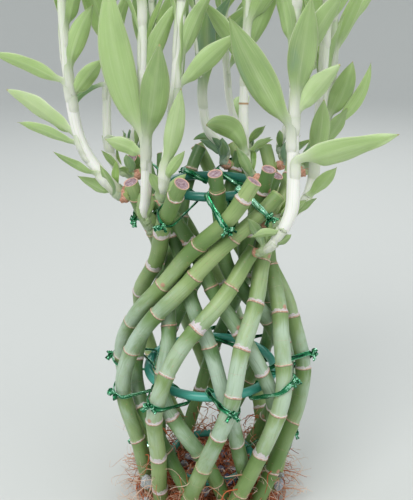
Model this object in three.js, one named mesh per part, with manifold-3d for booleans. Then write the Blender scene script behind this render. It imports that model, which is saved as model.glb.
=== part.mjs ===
// Lucky bamboo trained into an open woven vase: canes in two crossing layers, tied to three hoops,
// standing on their own matted roots, with leafy shoots from the cut tops.
// Millimetres, +Z up, origin in the middle of the flat underside of the roots, -Y towards the front.
import * as THREE from 'three';
import { mergeVertices } from 'three/addons/utils/BufferGeometryUtils.js';
import Module from 'manifold-3d';

const wasm = await Module();
wasm.setup();

// ---------- driving dimensions ----------
const GAP = 0.35; // clearance between two pieces that touch on the real plant
const MID_Z = 125; // height of the middle hoop, at the belly of the cage
const HOOPS = {
  hoop_bottom: { z: 32, radius: 36.2, tube: 3.4 },
  hoop_middle: { z: MID_Z, radius: 53.5, tube: 3.7 },
  hoop_top: { z: 283, radius: 35.5, tube: 3.5 },
};

// The cage: the radius of each layer's centre lines at seven heights, and for each cane its bearing at those
// heights, the height of its cut top, how far below the cut its first node ring lies, and the step to the next.
const LEVELS = [7, 65, MID_Z, 180, 229, 271, 305];
const OUTER = { caneRadius: 6.4, radii: [55, 68.2, 78.4, 64.6, 45.3, 57, 70] };
const INNER = { caneRadius: 6.0, radii: [41.3, 54.4, 64.6, 50, 31, 42.8, 55.6] };
const NODE_SWELL = 1.055; // a node ring stands this much proud of the cane
const CANE_SIDES = 6;
const NODE_STEP = 1.5; // height of the step above each node ring
const outer = (bearings, top, firstNode, internode) => ({ layer: OUTER, bearings, top, firstNode, internode });
const inner = (bearings, top, firstNode, internode) => ({ layer: INNER, bearings, top, firstNode, internode });
const CANES = {
  cane_outer_01: outer([-112, -100, -97, -72, -34, 11, 27], 301, 16, 50),
  cane_outer_02: outer([-76, -62, -67, -52, -11, 36, 72], 285, 45, 43),
  cane_outer_03: outer([-51, -39, -33, -16, 31, 72, 90], 242, 34, 42),
  cane_outer_04: outer([-26, -7, 9, 23, 60, 90, 108], 303, 18, 36),
  cane_outer_05: outer([12, 31, 45, 57, 87, 118, 140], 303, 24, 40),
  cane_outer_06: outer([40, 60, 80, 88, 115, 146, 166], 303, 20, 46),
  cane_outer_07: outer([76, 98, 118, 130, 153, 176, 192], 302, 30, 42),
  cane_outer_08: outer([115, 138, 158, 172, 202, 230, 256], 300, 17, 45),
  cane_outer_09: outer([152, 177, 195, 212, 253, 280, 291], 290, 14, 40),
  cane_outer_10: outer([200, 219, 229, 251, 290, 325, 345], 300, 13, 44),
  cane_inner_01: inner([-18, -44, -82, -92, -118, -150, -172], 303, 22, 42),
  cane_inner_02: inner([20, -5, -36, -42, -84, -116, -135], 300, 28, 38),
  cane_inner_03: inner([50, 26, 10, -7, -50, -86, -105], 298, 18, 45),
  cane_inner_04: inner([95, 68, 47, 24, -16, -50, -66], 284, 4, 40),
  cane_inner_05: inner([135, 108, 84, 62, 20, 8, 2], 305, 14, 43),
  cane_inner_06: inner([178, 150, 128, 104, 60, 54, 48], 304, 20, 38),
  cane_inner_07: inner([220, 192, 172, 148, 104, 92, 80], 292, 31, 44),
  cane_inner_08: inner([275, 240, 218, 198, 168, 158, 152], 300, 16, 41),
};

// Twist ties: the hoop, the canes that each one holds, its bearing, how far its outer side hangs below the
// hoop, and the slant of its band.
const TIE = { width: 4, thickness: 0.8, clearance: 0.45, sides: 9, knot: 9, reachAlong: 30, reachRound: 50 };
const tie = (hoop, canes, bearing, drop, slant) => ({ hoop, canes, bearing, drop, slant });
const TIES = {
  tie_middle_01: tie('hoop_middle', ['cane_outer_02', 'cane_inner_01'], -71, 2, -24),
  tie_middle_02: tie('hoop_middle', ['cane_outer_03', 'cane_inner_02'], -34, -3, -22),
  tie_middle_03: tie('hoop_middle', ['cane_outer_04', 'cane_inner_03'], 10, -3, -25),
  tie_middle_04: tie('hoop_middle', ['cane_outer_05', 'cane_inner_04'], 46, -9, 25),
  tie_middle_05: tie('hoop_middle', ['cane_outer_06', 'cane_inner_05'], 80.5, -12, -36),
  tie_middle_06: tie('hoop_middle', ['cane_outer_07', 'cane_inner_06'], 123, -2, 25),
  tie_middle_07: tie('hoop_middle', ['cane_inner_07'], 171, 0, 18),
  tie_middle_08: tie('hoop_middle', ['cane_outer_01'], -99, -5, -36),
  tie_top_01: tie('hoop_top', ['cane_outer_09', 'cane_inner_03'], -83, 21, -35),
  tie_top_02: tie('hoop_top', ['cane_outer_10'], -30, 16, -45),
  tie_top_03: tie('hoop_top', ['cane_outer_01', 'cane_inner_05'], 10, 12, -40),
  tie_top_04: tie('hoop_top', ['cane_outer_02', 'cane_inner_06'], 41, 9, -40),
  tie_top_05: tie('hoop_top', ['cane_inner_08', 'cane_outer_06'], 156, 0, 30),
  tie_top_06: tie('hoop_top', ['cane_inner_01'], 202, 0, 30),
  tie_bottom_01: tie('hoop_bottom', ['cane_inner_08', 'cane_outer_01'], 260, -6, 30),
  tie_bottom_02: tie('hoop_bottom', ['cane_inner_04', 'cane_outer_07'], 84, -6, 30),
};

// Roots and glass chips.
const ROOTS = {
  radius: 70, height: 19, flat: 62, level: 32, wave: 0.035, rootlets: 16, reach: 90, rise: 18, seed: 11,
};
const CHIPS = { radius: 24, height: 3, count: 10, size: 6.4, seed: 5 };

// Shoots: the cane each one grows from, how far below its cut top, its stem's radius and way, and its leaves
// as [place along the stem 0-1, bearing, length, width, rise, droop] (degrees and millimetres).
// Each blade turns on its midrib, at most by `turn`, so that its upper face looks to the front.
const LEAF = { thickness: 0.8, cup: 0.3, turn: 55, stations: [0, 0.3, 0.7, 1], shape: [0.45, 1, 0.85, 0.08] };
const SHOOTS = {
  shoot_01: {
    cane: 'cane_outer_09', below: 10, radius: 5.4,
    way: [[-80, -14, 290], [-86, -12, 297], [-95, -11, 311], [-101, -10, 329], [-105, -10, 364],
      [-106, -10, 392], [-106, -10, 419], [-103, -10, 436]],
    leaves: [[0.33, -109, 72, 20, 38, 14], [0.3, -113, 62, 12, 21, 11], [0.56, -82, 60, 12, 36, 21],
      [0.17, -74, 40, 7, 19, -20], [0.52, 85, 37, 14, 50, 4], [0.78, 110, 46, 14, 72, 10],
      [0.96, -60, 66, 15, 80, 22], [0.96, 130, 62, 15, 78, 24]],
  },
  shoot_02: {
    cane: 'cane_inner_03', below: 5, radius: 4.4,
    way: [[-75, 14, 294], [-81, 14, 308], [-82, 15, 324], [-81, 15, 347], [-78, 15, 377],
      [-78, 16, 438]],
    leaves: [[0.28, 60, 42, 9, 12, 60], [0.52, -100, 46, 6, 10, 95], [0.66, -60, 70, 18, 78, 10],
      [0.8, 160, 60, 17, 60, 30], [0.96, 40, 62, 16, 76, 22], [0.96, -110, 64, 16, 74, 26]],
  },
  shoot_03: {
    cane: 'cane_outer_09', below: 36, radius: 4.6,
    way: [[-52, -18, 264], [-50, -23, 277], [-49, -27, 289], [-48, -30, 305], [-48, -32, 330],
      [-49, -33, 356], [-48, -34, 383], [-47, -36, 419], [-46, -38, 440]],
    leaves: [[0.37, -95, 32, 14, 25, 6], [0.4, -56, 118, 24, 63, -29], [0.41, 23, 80, 22, 58, -12],
      [0.66, 150, 66, 16, 70, 20], [0.87, -20, 60, 16, 70, 26], [0.96, 170, 62, 15, 78, 22]],
  },
  shoot_04: {
    cane: 'cane_inner_04', below: 5, radius: 5.2,
    way: [[-37, -40, 286], [-35, -42, 297], [-31, -39, 318], [-27, -36, 350], [-24, -34, 380],
      [-21, -32, 419], [-20, -30, 440]],
    leaves: [[0.15, 60, 29, 8, 51, 0], [0.18, 33, 66, 15, 64, -9], [0.5, 130, 74, 18, 76, -10],
      [0.51, 92, 60, 16, 46, 7], [0.8, 170, 64, 17, 62, 24], [0.94, -30, 66, 16, 78, 20],
      [0.94, 120, 60, 15, 70, 30]],
  },
  shoot_05: {
    cane: 'cane_inner_08', below: 12, radius: 4.6,
    way: [[12, 44, 302], [-2, 42, 318], [-7, 42, 340], [-8, 42, 363], [-11, 42, 400], [-9, 42, 436]],
    leaves: [[0.16, -110, 26, 8, 40, 70], [0.44, 30, 72, 17, 80, -6], [0.58, 80, 70, 16, 54, 12],
      [0.8, -120, 60, 16, 66, 20], [0.95, 30, 58, 15, 74, 24]],
  },
  shoot_06: {
    cane: 'cane_inner_06', below: 14, radius: 4.4,
    way: [[30, -20, 295], [26, -12, 302], [25, -4, 315], [24, 0, 341], [25, 0, 378], [26, 0, 419],
      [24, 2, 442]],
    leaves: [[0.17, -75, 46, 19, 92, 100], [0.2, 110, 25, 8, 25, 10], [0.56, -110, 60, 16, 64, 16],
      [0.74, 60, 58, 16, 66, 20], [0.95, -60, 60, 15, 76, 22], [0.95, 140, 58, 15, 72, 26]],
  },
  shoot_07: {
    cane: 'cane_outer_03', below: 1.5, radius: 5.8,
    way: [[42, -55, 251], [50, -59, 264], [56, -58, 279], [57, -55, 296], [56, -50, 327],
      [56, -48, 368], [55, -46, 419], [57, -46, 436]],
    leaves: [[0.5, -85, 92, 23, 55, -10], [0.41, 72, 74, 21, 18, -3], [0.56, 72, 47, 18, 56, 10],
      [0.19, -77, 25, 8, -7, 6], [0.13, 69, 15, 8, 25, -15], [0.6, 50, 70, 20, 82, 0],
      [0.7, 100, 64, 18, 66, 14], [0.94, -80, 62, 16, 74, 22], [0.94, 60, 62, 16, 76, 22]],
  },
  shoot_08: {
    cane: 'cane_outer_02', below: 12, radius: 5,
    way: [[67, -26, 273], [76, -14, 287], [78, -12, 313], [80, -12, 350], [81, -12, 392],
      [80, -12, 440]],
    leaves: [[0.22, 55, 36, 12, 44, -11], [0.35, 40, 50, 16, 80, -6], [0.62, -150, 60, 16, 66, 16],
      [0.8, 60, 66, 17, 74, 14], [0.95, -30, 58, 15, 76, 22]],
  },
  shoot_09: {
    cane: 'cane_outer_04', below: 10, radius: 4.8,
    way: [[73, 12, 294], [81, 14, 306], [89, 16, 331], [92, 16, 366], [91, 16, 405], [88, 16, 440]],
    leaves: [[0.19, 80, 38, 13, 45, -18], [0.26, 80, 67, 11, 29, -57], [0.32, 59, 50, 18, 55, -24],
      [0.6, 120, 62, 16, 64, 22], [0.85, 50, 66, 17, 74, 16], [0.95, -100, 56, 14, 76, 24]],
  },
  shoot_10: {
    cane: 'cane_outer_05', below: 14, radius: 4,
    way: [[58, 52, 306], [68, 50, 330], [76, 48, 372], [77, 46, 436]],
    leaves: [[0.3, 140, 60, 16, 50, 30], [0.5, 105, 62, 16, 60, 24], [0.7, -160, 60, 16, 66, 24],
      [0.94, 60, 58, 15, 74, 24]],
  },
  shoot_11: {
    cane: 'cane_outer_08', below: 8, radius: 4,
    way: [[-66, 50, 306], [-58, 50, 334], [-47, 47, 376], [-48, 46, 438]],
    leaves: [[0.3, 165, 60, 16, 50, 30], [0.56, -30, 64, 16, 74, 6],
      [0.8, -165, 62, 16, 68, 22], [0.95, 60, 56, 15, 76, 22]],
  },
  shoot_12: {
    cane: 'cane_outer_06', below: 14, radius: 4,
    way: [[32, 74, 300], [18, 78, 330], [11, 72, 388], [10, 70, 440]],
    leaves: [[0.26, 170, 58, 16, 40, 36], [0.52, 110, 60, 16, 62, 22], [0.66, -130, 62, 16, 62, 24],
      [0.8, 30, 58, 16, 70, 20], [0.95, -80, 58, 15, 74, 24]],
  },
};

const COLOURS = {
  outer: { color: 0x8fae5f, roughness: 0.5 },
  inner: { color: 0x7d9c50, roughness: 0.55 },
  hoop: { color: 0x14695c, roughness: 0.3 },
  tie: { color: 0x0b7a3e, roughness: 0.25, metalness: 0.8 },
  shoot: { color: 0xa9c98a, roughness: 0.5 },
  root: { color: 0xb5653a, roughness: 0.9 },
  chips: { color: 0xb9bfc9, roughness: 0.15 },
};

// ---------- small helpers ----------
const rad = THREE.MathUtils.degToRad;
const UP = new THREE.Vector3(0, 0, 1);
const vec = (x, y, z) => new THREE.Vector3(x, y, z);

// A point at a bearing (0 faces the front, positive to the right), radius and height.
const polar = (bearing, radius, z) => vec(radius * Math.sin(rad(bearing)), -radius * Math.cos(rad(bearing)), z);

// Repeatable random numbers between 0 and 1.
function seeded(seed) {
  let state = seed >>> 0;
  return () => {
    state = (Math.imul(state, 1664525) + 1013904223) >>> 0;
    return state / 4294967296;
  };
}

// A smooth value between the entries of a table (cubic, with the slopes of its neighbours).
function smooth(stations, values, s) {
  const last = stations.length - 1;
  let i = 0;
  while (i < last - 1 && s > stations[i + 1]) i += 1;
  const slope = (k) => {
    const a = Math.max(k - 1, 0);
    const b = Math.min(k + 1, last);
    return (values[b] - values[a]) / (stations[b] - stations[a]);
  };
  const span = stations[i + 1] - stations[i];
  const t = (s - stations[i]) / span;
  const a = (1 + 2 * t) * (1 - t) ** 2;
  const b = t * t * (3 - 2 * t);
  const c = t * (1 - t) ** 2 * span;
  const d = t * t * (t - 1) * span;
  return a * values[i] + b * values[i + 1] + c * slope(i) + d * slope(i + 1);
}

// A closed geometry as a solid: corners at one place are merged, and the empty faces at poles are left out.
function toSolid(geometry) {
  const bare = geometry.clone();
  for (const name of ['normal', 'uv']) bare.deleteAttribute(name);
  const merged = mergeVertices(bare, 1e-4);
  const corners = [];
  for (let i = 0; i < merged.index.count; i += 3) {
    const [a, b, c] = [0, 1, 2].map((k) => merged.index.getX(i + k));
    if (a !== b && b !== c && c !== a) corners.push(a, b, c);
  }
  return new wasm.Manifold(new wasm.Mesh({
    numProp: 3,
    vertProperties: new Float32Array(merged.attributes.position.array),
    triVerts: new Uint32Array(corners),
  }));
}

function fromSolid(solid) {
  const mesh = solid.getMesh();
  const geometry = new THREE.BufferGeometry();
  geometry.setAttribute('position', new THREE.BufferAttribute(mesh.vertProperties, 3));
  geometry.setIndex(new THREE.BufferAttribute(mesh.triVerts, 1));
  return geometry;
}

// Joins closed geometries into one body, without the loose scraps that a join can leave.
function join(geometries) {
  const joined = geometries.map(toSolid).reduce((sum, solid) => sum.add(solid));
  const largest = joined.decompose().reduce((a, b) => (a.volume() > b.volume() ? a : b));
  return fromSolid(largest);
}

// Bends a lathed bar, turned about Y from y = 0 to its length, along a curve. Its X side keeps to `side`.
function bend(bar, curve, length, side) {
  const position = bar.attributes.position;
  for (let i = 0; i < position.count; i += 1) {
    const u = THREE.MathUtils.clamp(position.getY(i) / length, 0, 1);
    const along = curve.getTangentAt(u);
    const across = side(u).clone();
    across.addScaledVector(along, -across.dot(along)).normalize();
    const other = across.clone().cross(along);
    const point = curve.getPointAt(u)
      .addScaledVector(across, position.getX(i))
      .addScaledVector(other, position.getZ(i));
    position.setXYZ(i, point.x, point.y, point.z);
  }
  return bar;
}

// A round bar along a curve, from a profile of [distance along, radius] pairs, with closed ends.
function bar(curve, profile, sides, side) {
  const length = profile[profile.length - 1][0];
  const outline = profile.map(([along, radius]) => new THREE.Vector2(radius, along));
  const closed = [new THREE.Vector2(0, 0), ...outline, new THREE.Vector2(0, length)];
  return bend(new THREE.LatheGeometry(closed, sides), curve, length, side);
}

// ---------- canes ----------
const caneRadiusAt = (cane, z) => smooth(LEVELS, cane.layer.radii, z);
const caneBearingAt = (cane, z) => smooth(LEVELS, cane.bearings, z);
const canePoint = (cane, z) => polar(caneBearingAt(cane, z), caneRadiusAt(cane, z), z);
const caneDirection = (cane, z) => canePoint(cane, z + 1).sub(canePoint(cane, z - 1)).normalize();

function caneCurve(cane, from = LEVELS[0], to = cane.top) {
  const steps = 24;
  const points = Array.from({ length: steps + 1 }, (_, i) => canePoint(cane, from + ((to - from) * i) / steps));
  return new THREE.CatmullRomCurve3(points, false, 'centripetal');
}

// Node rings every internode, counted down from the cut top; above each ring the cane is a little slimmer.
function caneProfile(length, radius, { firstNode, internode }) {
  const profile = [[length, radius]];
  for (let node = length - firstNode; node > 0; node -= internode) {
    profile.push([node + NODE_STEP, radius], [node, radius * NODE_SWELL]);
    if (node > internode / 2) profile.push([node - internode / 2, radius]);
  }
  profile.push([0, radius]);
  return profile.filter(([along], i) => i === 0 || profile[i - 1][0] - along > 0.5 || along === 0).reverse();
}

function makeCane(cane, extra = 0) {
  const curve = caneCurve(cane);
  const profile = caneProfile(curve.getLength(), cane.layer.caneRadius, cane);
  const outward = (u) => curve.getPointAt(u).setZ(0).normalize();
  return bar(curve, profile.map(([along, radius]) => [along, radius + extra]), CANE_SIDES, outward);
}

// ---------- hoops ----------
function makeHoop({ z, radius, tube }) {
  return new THREE.TorusGeometry(radius, tube, 6, 24).translate(0, 0, z);
}

// ---------- twist ties ----------
// Points on a round rod's skin that lie inside the band's width, for a middle line given as points.
function skinInBand(line, radius, frame) {
  return line.slice(1).flatMap((point, i) => {
    const along = point.clone().sub(line[i]).normalize();
    const across = along.clone().cross(frame.normal).normalize();
    const other = along.clone().cross(across);
    return Array.from({ length: 16 }, (_, k) => point.clone()
      .addScaledVector(across, radius * Math.cos((k * Math.PI) / 8))
      .addScaledVector(other, radius * Math.sin((k * Math.PI) / 8)));
  }).filter((point) => Math.abs(point.clone().sub(frame.origin).dot(frame.normal)) < TIE.width / 2 + 0.4);
}

function range(from, to, step) {
  return Array.from({ length: Math.round((to - from) / step) + 1 }, (_, i) => from + i * step);
}

// A flat band pulled tight round its hoop and canes: each side lies on their furthest point that way.
function makeTie({ hoop, canes, bearing, drop, slant }) {
  const ring = HOOPS[hoop];
  const origin = polar(bearing, ring.radius, ring.z);
  const axis = polar(bearing, ring.radius + 20, ring.z - drop).sub(origin).normalize();
  const tangent = polar(bearing + 90, 1, 0);
  const across = axis.clone().cross(tangent).normalize();
  const cross = tangent.clone().multiplyScalar(Math.cos(rad(slant)))
    .addScaledVector(across, Math.sin(rad(slant)));
  const frame = { origin, axis, cross, normal: axis.clone().cross(cross).normalize() };
  const { reachAlong, reachRound } = TIE;
  const hoopLine = range(bearing - reachRound, bearing + reachRound, 1)
    .map((angle) => polar(angle, ring.radius, ring.z));
  const caneLines = canes.map((name) => CANES[name])
    .map((cane) => range(ring.z - reachAlong, Math.min(ring.z + reachAlong, cane.top), 0.5)
      .map((z) => canePoint(cane, z)));
  const skin = [
    ...skinInBand(hoopLine, ring.tube, frame),
    ...caneLines.flatMap((line, i) => skinInBand(line, CANES[canes[i]].layer.caneRadius * NODE_SWELL, frame)),
  ];
  const step = (2 * Math.PI) / TIE.sides;
  const reach = Array.from({ length: TIE.sides }, (_, i) => {
    const u = frame.axis.clone().multiplyScalar(Math.cos(i * step))
      .addScaledVector(frame.cross, Math.sin(i * step));
    return Math.max(...skin.map((point) => point.clone().sub(origin).dot(u))) + TIE.clearance;
  });
  const corner = (extra) => (i) => {
    const next = (i + 1) % TIE.sides;
    const [a, b] = [i * step, (i + 1) * step];
    const [p, q] = [reach[i] + extra, reach[next] + extra];
    return new THREE.Vector2(
      (p * Math.sin(b) - q * Math.sin(a)) / Math.sin(step),
      (q * Math.cos(a) - p * Math.cos(b)) / Math.sin(step),
    );
  };
  const indices = Array.from({ length: TIE.sides }, (_, i) => i);
  const outline = new THREE.Shape(indices.map(corner(TIE.thickness)));
  outline.holes.push(new THREE.Path(indices.map(corner(0))));
  const band = new THREE.ExtrudeGeometry(outline, { depth: TIE.width, bevelEnabled: false });
  band.translate(0, 0, -TIE.width / 2);
  const end = reach[0] + TIE.thickness;
  const middle = (corner(0)(TIE.sides - 1).y + corner(0)(0).y) / 2;
  const twist = new THREE.CatmullRomCurve3([
    vec(end - 0.5, middle, 0),
    vec(end + TIE.knot * 0.4, middle + 1, -0.8),
    vec(end + TIE.knot * 0.7, middle - 2, 2),
    vec(end + TIE.knot, middle - 5, 1),
  ]);
  const tail = bar(twist, [[0, 1.6], [TIE.knot * 0.45, 1.2], [twist.getLength(), 0.7]], 4, () => UP);
  return join([band, tail]).applyMatrix4(
    new THREE.Matrix4().makeBasis(frame.axis, frame.cross, frame.normal).setPosition(origin),
  );
}

// ---------- roots and glass chips ----------
// A low mat with a flat underside, a wavy edge and a level middle where the chips lie.
function rootMat() {
  const { radius, height, flat, level } = ROOTS;
  const side = [[radius, 5], [radius - 1, 12], [radius - 7, height]];
  const profile = [[0, 0], [flat, 0], ...side, [level, height], [0, height]];
  const outline = profile.map(([r, z]) => new THREE.Vector2(r, z));
  const mat = new THREE.LatheGeometry(outline, 22).rotateX(Math.PI / 2);
  const position = mat.attributes.position;
  for (let i = 0; i < position.count; i += 1) {
    const [x, y] = [position.getX(i), position.getY(i)];
    const bearing = Math.atan2(y, x);
    const edge = Math.hypot(x, y) / radius;
    const wave = 1 + ROOTS.wave * edge * (Math.sin(5 * bearing) + Math.sin(8 * bearing + 1));
    position.setX(i, x * wave);
    position.setY(i, y * wave);
  }
  return mat;
}

// Thin roots that leave the mat's edge, wander outwards and rise or lie low.
function rootlets() {
  const { radius, reach, rise, seed, rootlets: count } = ROOTS;
  const random = seeded(seed);
  return Array.from({ length: count }, (_, i) => {
    const bearing = (360 * (i + 0.6 * random())) / count;
    const far = reach - 12 * random();
    const start = 5 + 9 * random();
    const end = 2.5 + rise * random() ** 2;
    const bow = 14 * (random() - 0.5);
    const curve = new THREE.CatmullRomCurve3([
      polar(bearing, radius - 7, start),
      polar(bearing + bow * 0.6, (radius + far) / 2, (start + end) / 2 + 2),
      polar(bearing + bow, far, end),
    ]);
    const length = curve.getLength();
    return bar(curve, [[0, 1.7], [length * 0.35, 1.3], [length * 0.7, 1], [length, 0.6]], 4, () => UP);
  });
}

// The canes' plain holes reach down to just under their cut feet.
function makeRoots() {
  const body = join([rootMat(), ...rootlets()]);
  const holes = Object.values(CANES).map((cane) => {
    const curve = caneCurve(cane, LEVELS[0] - GAP, ROOTS.height + 16);
    const radius = cane.layer.caneRadius * NODE_SWELL + 2.4 * GAP;
    const outward = (u) => curve.getPointAt(u).setZ(0).normalize();
    return toSolid(bar(curve, [[0, radius], [curve.getLength(), radius]], CANE_SIDES, outward));
  });
  const cut = holes.reduce((solid, hole) => solid.subtract(hole), toSolid(body));
  return fromSolid(cut.decompose().reduce((a, b) => (a.volume() > b.volume() ? a : b)));
}

// A small heap of broken glass: tilted chips on rings round the middle, sunk into a low core.
function makeChips() {
  const { radius, height, count, size, seed } = CHIPS;
  const base = ROOTS.height + GAP;
  const random = seeded(seed);
  const profile = [[0, 0], [radius, 0], [radius * 0.6, height], [0, height]];
  const outline = profile.map(([r, z]) => new THREE.Vector2(r, z));
  const core = new THREE.LatheGeometry(outline, 10).rotateX(Math.PI / 2).translate(0, 0, base);
  const chips = Array.from({ length: count }, (_, i) => {
    const out = radius * Math.sqrt((i + 0.5) / count);
    const chip = new THREE.IcosahedronGeometry(size * (0.7 + 0.5 * random()), 0);
    chip.scale(1, 0.8, 0.6);
    chip.rotateX(random() * 3);
    chip.rotateY(random() * 3);
    const z = base + height * (1 - 0.7 * (out / radius) ** 2);
    const point = polar(i * 137.5, out, z);
    return chip.translate(point.x, point.y, point.z);
  });
  const floor = new THREE.BoxGeometry(200, 200, 40).translate(0, 0, base - 20);
  return fromSolid(toSolid(join([core, ...chips])).subtract(toSolid(floor)));
}

// ---------- shoots ----------
// A cupped, pointed leaf: a thin wall split alike on both faces, from a point on the stem's middle line.
function makeLeaf(start, [, bearing, length, width, rise, droop]) {
  const { thickness, cup, stations, shape } = LEAF;
  const outward = polar(bearing, 1, 0);
  const level = UP.clone().cross(outward);
  const roll = -rad(LEAF.turn) * Math.sin(rad(bearing));
  const corners = [];
  const point = start.clone();
  stations.forEach((t, i) => {
    const span = i ? t - stations[i - 1] : 0;
    const climb = rad(rise - droop * (t - span / 2));
    const along = outward.clone().multiplyScalar(Math.cos(climb)).addScaledVector(UP, Math.sin(climb));
    point.addScaledVector(along, span * length);
    const side = level.clone().applyAxisAngle(along, roll);
    const face = along.clone().cross(side).normalize();
    const half = (width / 2) * shape[i];
    for (const layer of [0.5, -0.5]) {
      for (const u of [-1, 0, 1]) {
        const lift = cup * half * u * u + layer * thickness;
        corners.push(point.clone().addScaledVector(side, u * half).addScaledVector(face, lift));
      }
    }
  });
  const rowSize = 6;
  const faces = [];
  const quad = (a, b, c, d) => faces.push(a, b, c, a, c, d);
  for (let i = 0; i < stations.length - 1; i += 1) {
    const a = i * rowSize;
    const b = a + rowSize;
    for (const k of [0, 1]) {
      quad(a + k, b + k, b + k + 1, a + k + 1);
      quad(a + k + 4, b + k + 4, b + k + 3, a + k + 3);
    }
    quad(a + 3, b + 3, b, a);
    quad(a + 2, b + 2, b + 5, a + 5);
  }
  const z = (stations.length - 1) * rowSize;
  for (const k of [0, 1]) {
    quad(k, k + 1, k + 4, k + 3);
    quad(z + k + 3, z + k + 4, z + k + 1, z + k);
  }
  const leaf = new THREE.BufferGeometry().setFromPoints(corners);
  leaf.setIndex(faces);
  return leaf;
}

// The stem leaves the cane's side square to it, turns up, and carries its leaves to its tip. Its foot is cut
// to the cane's skin, a hair clear of it.
function makeShoot({ cane, below, way, radius, leaves }) {
  const host = CANES[cane];
  const z = host.top - below;
  const heart = canePoint(host, z);
  const first = vec(...way[0]);
  const grain = caneDirection(host, z);
  const leave = first.clone().sub(heart);
  leave.addScaledVector(grain, -leave.dot(grain)).normalize();
  const points = [0.6, 1.8].map((k) => heart.clone().addScaledVector(leave, k * host.layer.caneRadius));
  const stem = new THREE.CatmullRomCurve3([...points, ...way.map((p) => vec(...p))], false, 'centripetal');
  const length = stem.getLength();
  const count = 5;
  const profile = Array.from({ length: count + 1 }, (_, i) => {
    const t = i / count;
    return [t * length, radius * (i === 0 ? 0.8 : 1.05 - 0.45 * t)];
  });
  const body = bar(stem, profile, 5, () => vec(0.2, 1, 0).normalize());
  const grown = join([body, ...leaves.map((leaf) => makeLeaf(stem.getPointAt(leaf[0]), leaf))]);
  const seated = toSolid(grown).subtract(toSolid(makeCane(host, GAP / Math.cos(Math.PI / CANE_SIDES))));
  return fromSolid(seated.decompose().reduce((a, b) => (a.volume() > b.volume() ? a : b)));
}

// ---------- assembly ----------
const plant = new THREE.Group();

function add(name, geometry, { color, roughness, metalness = 0 }) {
  const mesh = new THREE.Mesh(geometry, new THREE.MeshStandardMaterial({ color, roughness, metalness }));
  mesh.name = name;
  plant.add(mesh);
}

Object.entries(HOOPS).forEach(([name, hoop]) => add(name, makeHoop(hoop), COLOURS.hoop));
Object.entries(CANES).forEach(([name, cane]) => {
  add(name, makeCane(cane), cane.layer === OUTER ? COLOURS.outer : COLOURS.inner);
});
Object.entries(TIES).forEach(([name, tie]) => add(name, makeTie(tie), COLOURS.tie));
add('root_mass', makeRoots(), COLOURS.root);
add('glass_chips', makeChips(), COLOURS.chips);
Object.entries(SHOOTS).forEach(([name, shoot]) => add(name, makeShoot(shoot), COLOURS.shoot));

export default plant;
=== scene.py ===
"""Lucky bamboo woven into an open vase shape, dressed for a studio picture.

The canes, hoops, foil ties, roots, glass chips and leafy shoots are worked out as fine surfaces on the
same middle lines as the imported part, and stand in for its plain solids. The plant's own sizes are in
millimetres and degrees, and each finished surface is turned to metres by MM as it becomes an object.
Bearings are seen from above: 0 faces the front (-Y), and they grow towards the right (+X).
"""

import logging
import math
from dataclasses import dataclass, field
from enum import Enum
from functools import cached_property
from typing import Iterable, Mapping, Sequence, Union

import bpy
import numpy as np
import numpy.typing as npt
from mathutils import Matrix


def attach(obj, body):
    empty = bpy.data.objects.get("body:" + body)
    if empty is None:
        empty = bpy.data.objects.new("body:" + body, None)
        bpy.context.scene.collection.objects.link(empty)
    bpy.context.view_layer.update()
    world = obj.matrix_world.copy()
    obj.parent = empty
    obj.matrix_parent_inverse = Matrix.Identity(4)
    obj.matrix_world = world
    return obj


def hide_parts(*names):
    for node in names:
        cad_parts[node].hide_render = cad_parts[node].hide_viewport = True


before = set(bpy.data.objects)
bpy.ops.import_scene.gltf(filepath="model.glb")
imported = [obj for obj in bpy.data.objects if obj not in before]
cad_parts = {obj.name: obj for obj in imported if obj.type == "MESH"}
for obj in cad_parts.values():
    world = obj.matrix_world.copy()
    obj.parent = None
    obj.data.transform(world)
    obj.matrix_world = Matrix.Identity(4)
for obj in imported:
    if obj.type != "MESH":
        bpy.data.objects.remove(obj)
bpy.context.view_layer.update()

Array = npt.NDArray[np.float64]
Indices = npt.NDArray[np.int64]
Draw = np.random.Generator
Material = bpy.types.Material
Socket = bpy.types.NodeSocket
Point = tuple[float, float, float]
Colour = tuple[float, float, float, float]
Link = Union[Socket, "Value", float, Sequence[float]]
LOG = logging.getLogger("lucky_bamboo")
MM = 0.001
UP = np.array([0.0, 0.0, 1.0])
BODY = "root"


# ---------------------------------------------------------------- lines and smooth tables
def unit(vectors: Array) -> Array:
    """Vectors divided by their own lengths."""
    return vectors / np.maximum(np.linalg.norm(vectors, axis=-1, keepdims=True), 1e-12)


def circle(count: int) -> Array:
    """Even angles of a whole turn in radians, starting at 0."""
    return np.linspace(0, 2 * np.pi, count, endpoint=False)


def xyz(x: Array | float, y: Array | float, z: Array | float) -> Array:
    """Vectors from their three parts, which are spread to one shape."""
    return np.stack(np.broadcast_arrays(x, y, z), axis=-1)


def polar(bearing: Array | float, radius: Array | float, z: Array | float) -> Array:
    """Points (r sin b, -r cos b, z) at a bearing in degrees, a radius and a height."""
    angle = np.radians(bearing)
    return xyz(radius * np.sin(angle), -radius * np.cos(angle), z)


def smooth(stations: Sequence[float], values: Sequence[float], at: Array | float) -> Array:
    """A cubic through the entries of a table, whose slope at each entry is that of its neighbours.

    Args:
        stations: where the entries stand, rising.
        values: the entries.
        at: where the curve is read.

    Returns:
        The curve's values, shaped like at.
    """
    x, v = np.asarray(stations, float), np.asarray(values, float)
    entry = np.arange(len(x))
    low, high = np.maximum(entry - 1, 0), np.minimum(entry + 1, len(x) - 1)
    slope = (v[high] - v[low]) / (x[high] - x[low])
    i = np.clip(np.searchsorted(x, at, side="right") - 1, 0, len(x) - 2)
    span = x[i + 1] - x[i]
    t = (np.asarray(at, float) - x[i]) / span
    bend = t * (1 - t) * ((1 - t) * slope[i] - t * slope[i + 1]) * span
    return v[i] + (v[i + 1] - v[i]) * t * t * (3 - 2 * t) + bend


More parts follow.
